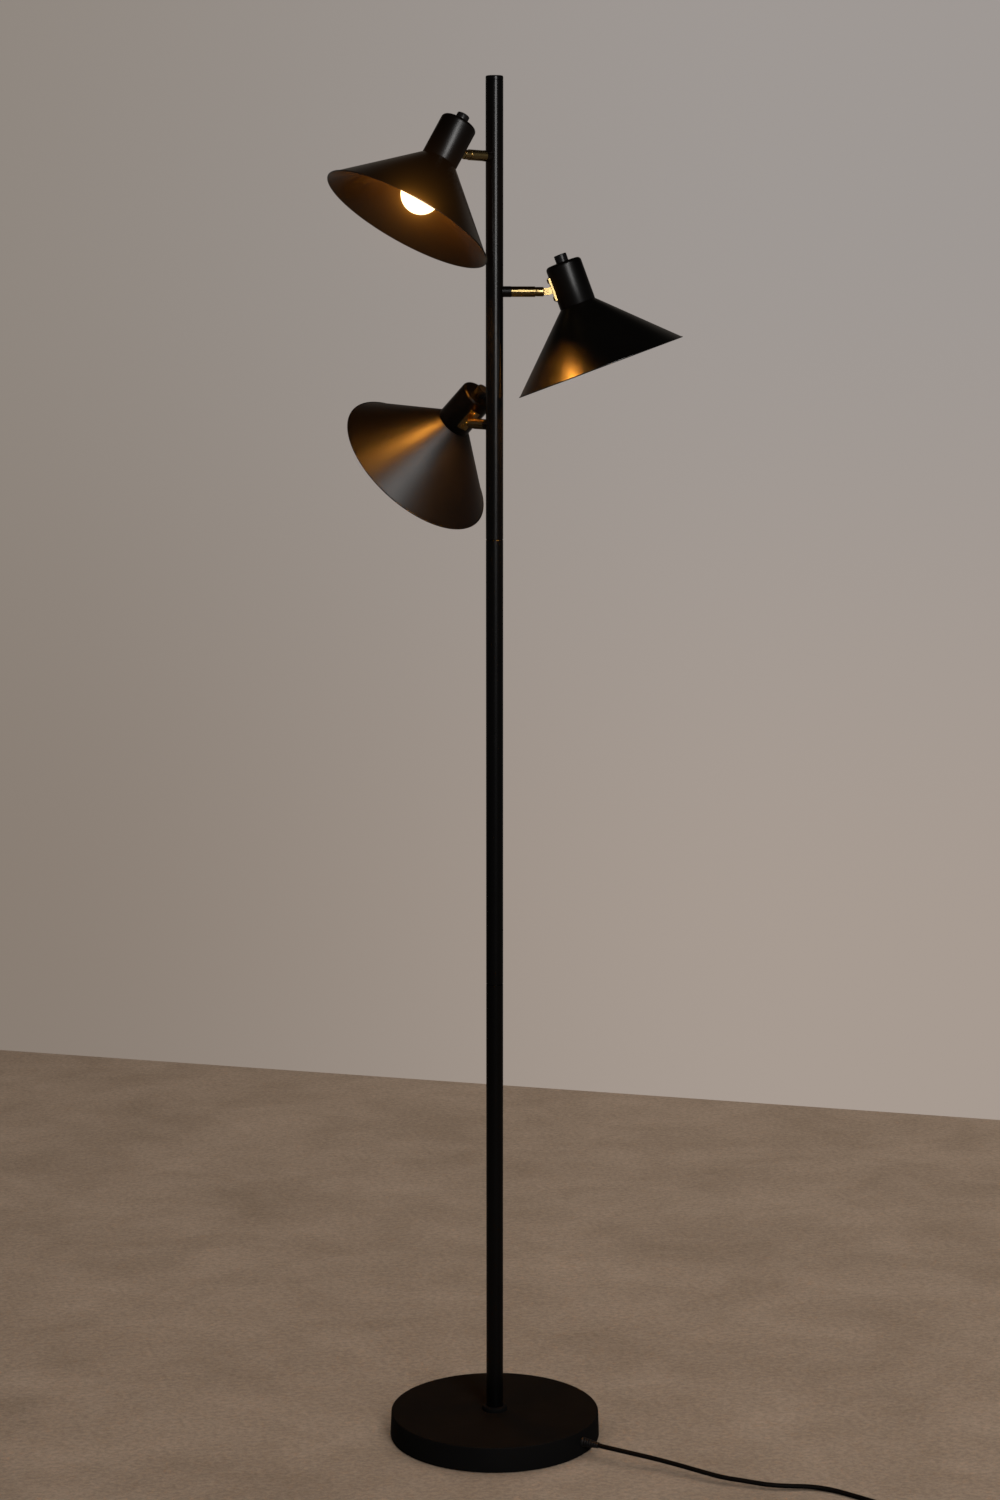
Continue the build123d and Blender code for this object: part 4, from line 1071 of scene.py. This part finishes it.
# %% Bulb light and the floor
off_floor = bpy.data.collections.new("off_floor")
off_floor.objects.link(floor)
off_floor.collection_objects[0].light_linking.link_state = "EXCLUDE"
for name in HEADS:
    nodes[f"bulb_glass_{name}"].light_linking.receiver_collection = off_floor
print("bulbs light everything but", floor.name)

# %% [markdown]
# ## Moulded black plastic
# Buttons, holders, ring nuts, the ribbed sleeve and the plug are moulded. A mould is spark-eroded to a
# fine grain, so the plastic has a soft sheen with tiny pits, and it is a little smoother where hands
# have rubbed it.


# %% Moulded plastic
def moulded_black(name, colour, roughness, fineness):
    """Black plastic with a fine mould grain and rub marks."""
    material, tree, shader = new_finish(name)
    grain = placed(tree, skin_grain, Fineness=fineness, Patch_Size=60.0)
    marks = placed(tree, rub_marks, Size=90.0)
    dusty = placed(tree, settled_dust, Amount=0.06)["Dust"]
    body = dappled(tree, grain["Patch"], colour, 0.2)
    sheen = between(tree, grain["Patch"], roughness - 0.04, roughness + 0.04)
    feed(tree, shader, Base_Color=mixed(tree, dusty, body, DUST_COLOUR), Specular_IOR_Level=0.4)
    feed(tree, shader, Roughness=raised(tree, sheen, marks["Smudge"], -0.08))
    bumped(tree, shader, grain["Height"], 0.02)
    return material


button_black = moulded_black("button_black", (0.010, 0.010, 0.011), roughness=0.34, fineness=2600.0)
holder_black = moulded_black("holder_black", (0.014, 0.013, 0.012), roughness=0.42, fineness=2200.0)
rubber_black = moulded_black("rubber_black", (0.012, 0.012, 0.013), roughness=0.50, fineness=1800.0)
print("plastics", button_black.name, holder_black.name, rubber_black.name)

# %% [markdown]
# ## Lead, strap and pins
# Up close the lead has a fine braided jacket: two families of threads cross at a slant. The lead's own
# UV map runs along and round it, so two slanted waves make the braid. The strap is woven tape, and the
# plug's pins are bright metal with black sleeves at their roots.

# %% Braided jacket
PLAITS_ROUND = 9
PLAIT_SLANT = 0.6
PLAITS_ALONG = LEAD_LENGTH / (math.pi * CORD_DIAMETER) * PLAITS_ROUND * PLAIT_SLANT
# The hollows between the threads get the darker colour and the crests the paler one: this is painted shade
# in the hollows, not a darker thread.
SHADED_THREAD_HOLLOW, LIT_THREAD_CREST = (0.0012, 0.0012, 0.0012), (0.0050, 0.0047, 0.0047)
lead_jacket, tree, shader = new_finish("braided_black")
coordinates = add(tree, "TexCoord").outputs
flat = add(tree, "SeparateXYZ", Vector=coordinates["UV"]).outputs
round_it = times(tree, flat["Y"], PLAITS_ROUND)
along_it = times(tree, flat["X"], PLAITS_ALONG)


def thread(operation):
    """Height of one family of slanted threads, from 0 to 1."""
    phase = combined(tree, operation, along_it, round_it)
    wave = combined(tree, "SINE", times(tree, phase, 2 * math.pi))
    return combined(tree, "MULTIPLY_ADD", wave, 0.5, 0.5)


weave = combined(tree, "MAXIMUM", thread("ADD"), thread("SUBTRACT"))
fuzz = noise(tree, coordinates["Object"], 2500.0, 3.0, 0.7)
# Colour by the weave's height is painted shade in the hollows between the threads; the fuzz adds random
# tone on top.
tone = spread(tree, raised(tree, weave, fuzz, 0.5), 0.2, 1.0)
feed(tree, shader, Base_Color=mixed(tree, tone, SHADED_THREAD_HOLLOW, LIT_THREAD_CREST), Specular_IOR_Level=0.12)
feed(tree, shader, Roughness=between(tree, fuzz, 0.55, 0.75))
bumped(tree, shader, weave, 0.12)
print("braid with", PLAITS_ROUND, "plaits round")

# %% Woven strap
STRAP_TONES = ((0.006, 0.006, 0.007), (0.022, 0.022, 0.024))
strap_weave, tree, shader = new_finish("woven_black")
mapped = seen_from(tree, coil_place)
checks = add(tree, "TexChecker", Vector=mapped, Scale=2200.0)
fuzz = noise(tree, mapped, 3000.0, 3.0, 0.7)
feed(tree, shader, Base_Color=mixed(tree, fuzz, *STRAP_TONES), Sheen_Weight=0.25)
feed(tree, shader, Roughness=between(tree, fuzz, 0.7, 0.9))
bumped(tree, shader, raised(tree, fuzz, checks.outputs["Fac"], 0.6), 0.15)
print("strap weave ready")

# %% Sleeved pins
SLEEVE_END, SLEEVE_EDGE = PLUG_LENGTH + 10.1, 0.05
SLEEVE_BLACK, PIN_METAL = (0.012, 0.012, 0.013), (0.70, 0.69, 0.66)
pin_metal, tree, shader = new_finish("sleeved_pins")
own = add(tree, "SeparateXYZ", Vector=seen_from(tree, plug_place)).outputs
bare = spread(tree, own["X"], (SLEEVE_END - SLEEVE_EDGE) * MM, (SLEEVE_END + SLEEVE_EDGE) * MM)
marks = placed(tree, rub_marks, Size=300.0)
wiped = raised(tree, spread(tree, bare, 0.0, 1.0, 0.45, 0.2), marks["Scratch"], 0.25)
feed(tree, shader, Base_Color=mixed(tree, bare, SLEEVE_BLACK, PIN_METAL), Metallic=bare)
feed(tree, shader, Roughness=raised(tree, wiped, marks["Smudge"], 0.1))
print("pins ready")

# %% [markdown]
# ## Hidden metal and felt
# Inside the base sit a cast weight, zinc-plated fittings and a felt pad, and the bulbs stand on thin
# aluminium screw caps. They show only when the lamp is taken apart, but each gets its own finish.


# %% Hidden metals and felt
def worn_metal(name, colour, shade, roughness, fineness, depth_mm):
    """Bare metal with a mottled plating or cast skin."""
    material, tree, shader = new_finish(name)
    grain = placed(tree, skin_grain, Fineness=fineness, Patch_Size=70.0)
    marks = placed(tree, rub_marks, Size=80.0)
    sheen = between(tree, grain["Patch"], roughness + 0.08, roughness - 0.05)
    feed(tree, shader, Base_Color=mixed(tree, grain["Patch"], shade, colour), Metallic=1.0)
    feed(tree, shader, Roughness=raised(tree, sheen, marks["Scratch"], 0.2))
    bumped(tree, shader, grain["Height"], depth_mm)
    return material


cast_iron = worn_metal("cast_iron_weight", (0.16, 0.155, 0.15), (0.09, 0.085, 0.08), 0.62, 420.0, 0.25)
zinc = worn_metal("zinc_plate", (0.66, 0.66, 0.62), (0.50, 0.51, 0.50), 0.32, 1500.0, 0.01)
lamp_tin = worn_metal("bulb_screw_cap", (0.80, 0.80, 0.79), (0.66, 0.66, 0.65), 0.26, 2000.0, 0.008)
FELT_TONES = ((0.012, 0.012, 0.012), (0.055, 0.053, 0.052))
pad_felt, tree, shader = new_finish("pad_felt")
place = object_place(tree)
fibres = noise(tree, place, 1800.0, 5.0, 0.75, 1.5)
clumps = noise(tree, place, 120.0, 3.0)
feed(tree, shader, Base_Color=mixed(tree, fibres, *FELT_TONES), Roughness=between(tree, clumps, 0.85, 0.98))
bumped(tree, shader, fibres, 0.3)
print("hidden finishes", cast_iron.name, zinc.name, lamp_tin.name, pad_felt.name)

# %% [markdown]
# ## Pale floor
# The floor is a matt, finely flecked covering. Fine noise makes its pale and dark flecks, and a broad,
# cloudy noise lets the tone of both wander. In mirror images the floor is darker than to the eye: the
# glossy pieces would else show it paler than the photograph does.

# %% Pale floor
DARK_FLECKS = ((0.199, 0.152, 0.112), (0.277, 0.217, 0.166))
PALE_FLECKS = ((0.287, 0.219, 0.161), (0.398, 0.312, 0.239))
MIRRORED_TONE, MIRRORED_SHARE = (0.01, 0.009, 0.008), 0.75
floor_cover, tree, shader = new_finish("pale_floor")
brushed = add(tree, "Mapping", Vector=object_place(tree), Scale=(1.0, 1.25, 1.0))
feed(tree, brushed, Rotation=(0, 0, BACK_EDGE_TURN))
fleck = noise(tree, brushed.outputs["Vector"], 130.0, 5.0, 0.8)
mottle = noise(tree, brushed.outputs["Vector"], 4.5, 9.0, 0.72, 0.4)
clouds = spread(tree, mottle, 0.32, 0.68)
dark_grain, pale_grain = mixed(tree, clouds, *DARK_FLECKS), mixed(tree, clouds, *PALE_FLECKS)
grain_shade = mixed(tree, spread(tree, fleck, 0.39, 0.61), dark_grain, pale_grain)
mirrored = times(tree, add(tree, "LightPath").outputs["Is Glossy Ray"], MIRRORED_SHARE)
feed(tree, shader, Base_Color=mixed(tree, mirrored, grain_shade, MIRRORED_TONE), Specular_IOR_Level=0.2)
feed(tree, shader, Roughness=between(tree, fleck, 0.75, 0.9))
bumped(tree, shader, fleck, 0.5)
floor.data.materials.append(floor_cover)
print("floor ready")

# %% [markdown]
# ## Give every piece its finish
# A CAD node keeps its own mesh and only gets a new material in its slots. A new piece gets the finish of
# the node that it stands for. Only the plug's pins stand for none, so they are named.


# %% Give every piece its finish
def dress(material, *pieces):
    """Puts one material in all the slots of some pieces."""
    for piece in pieces:
        if not piece.material_slots:
            piece.data.materials.append(material)
        for slot in piece.material_slots:
            slot.material = material


dress(pin_metal, plug_pins)
node_finish = [
    (pole_paint, ("pole_lower", "pole_middle", "pole_upper", "pole_top_cap", "arm_collars")),
    (base_paint, ("base_cover", "foot_collar")),
    (cast_iron, ("base_weight",)),
    (zinc, ("base_nipple", "base_washer", "base_nut", "pole_foot_plug")),
    (zinc, ("pole_coupling_lower", "pole_coupling_upper")),
    (pad_felt, ("floor_pad",)),
    (rubber_black, ("cord_strain_relief", "mains_plug", "inner_lead")),
    (strap_weave, ("cord_tie",)),
    (lead_jacket, ("mains_cord", "cord_coil")),
]
for name in HEADS:
    for material, labels in (
        (brass[name], ("arm", "arm_swivel", "hinge_pin", "head_bracket", "bracket_screws")),
        (holder_black, ("lampholder", "shade_ring", "switch_body")),
        (button_black, ("switch_button",)),
        (cap_paint[name], ("socket_cap",)),
        (shade_paint[name], ("shade",)),
        (opal[name], ("bulb_glass",)),
        (lamp_tin, ("bulb_base",)),
    ):
        node_finish.append((material, [f"{label}_{name}" for label in labels]))
for material, labels in node_finish:
    dress(material, *(nodes[label] for label in labels))
    dress(material, *(stand_ins[label] for label in labels if label in stand_ins))
print("dressed", sum(len(labels) for material, labels in node_finish), "of", len(nodes), "nodes")

# %% [markdown]
# ## Glow in the lens
# A lens can't hold so bright a bulb beside so dark a shade: some of its light spreads round it as a warm
# halo. A Glare node does the same to the finished picture. It takes what is nearly white or brighter,
# and Clamp keeps a very bright spot from spreading too much.

# %% Glow in the lens
HALO_TINT = (1.0, 0.54, 0.13, 1.0)
bpy.context.scene.use_nodes = True
lens = bpy.context.scene.node_tree
lens.nodes.clear()
picture = lens.nodes.new("CompositorNodeRLayers")
halo = lens.nodes.new("CompositorNodeGlare")
halo.glare_type = "BLOOM"
feed(lens, halo, Image=picture.outputs["Image"], Threshold=0.9, Clamp=True, Maximum=3.5)
feed(lens, halo, Strength=0.55, Size=0.22, Tint=HALO_TINT)
feed(lens, lens.nodes.new("CompositorNodeComposite"), Image=halo.outputs["Image"])
print("halo with", len(lens.nodes), "nodes")
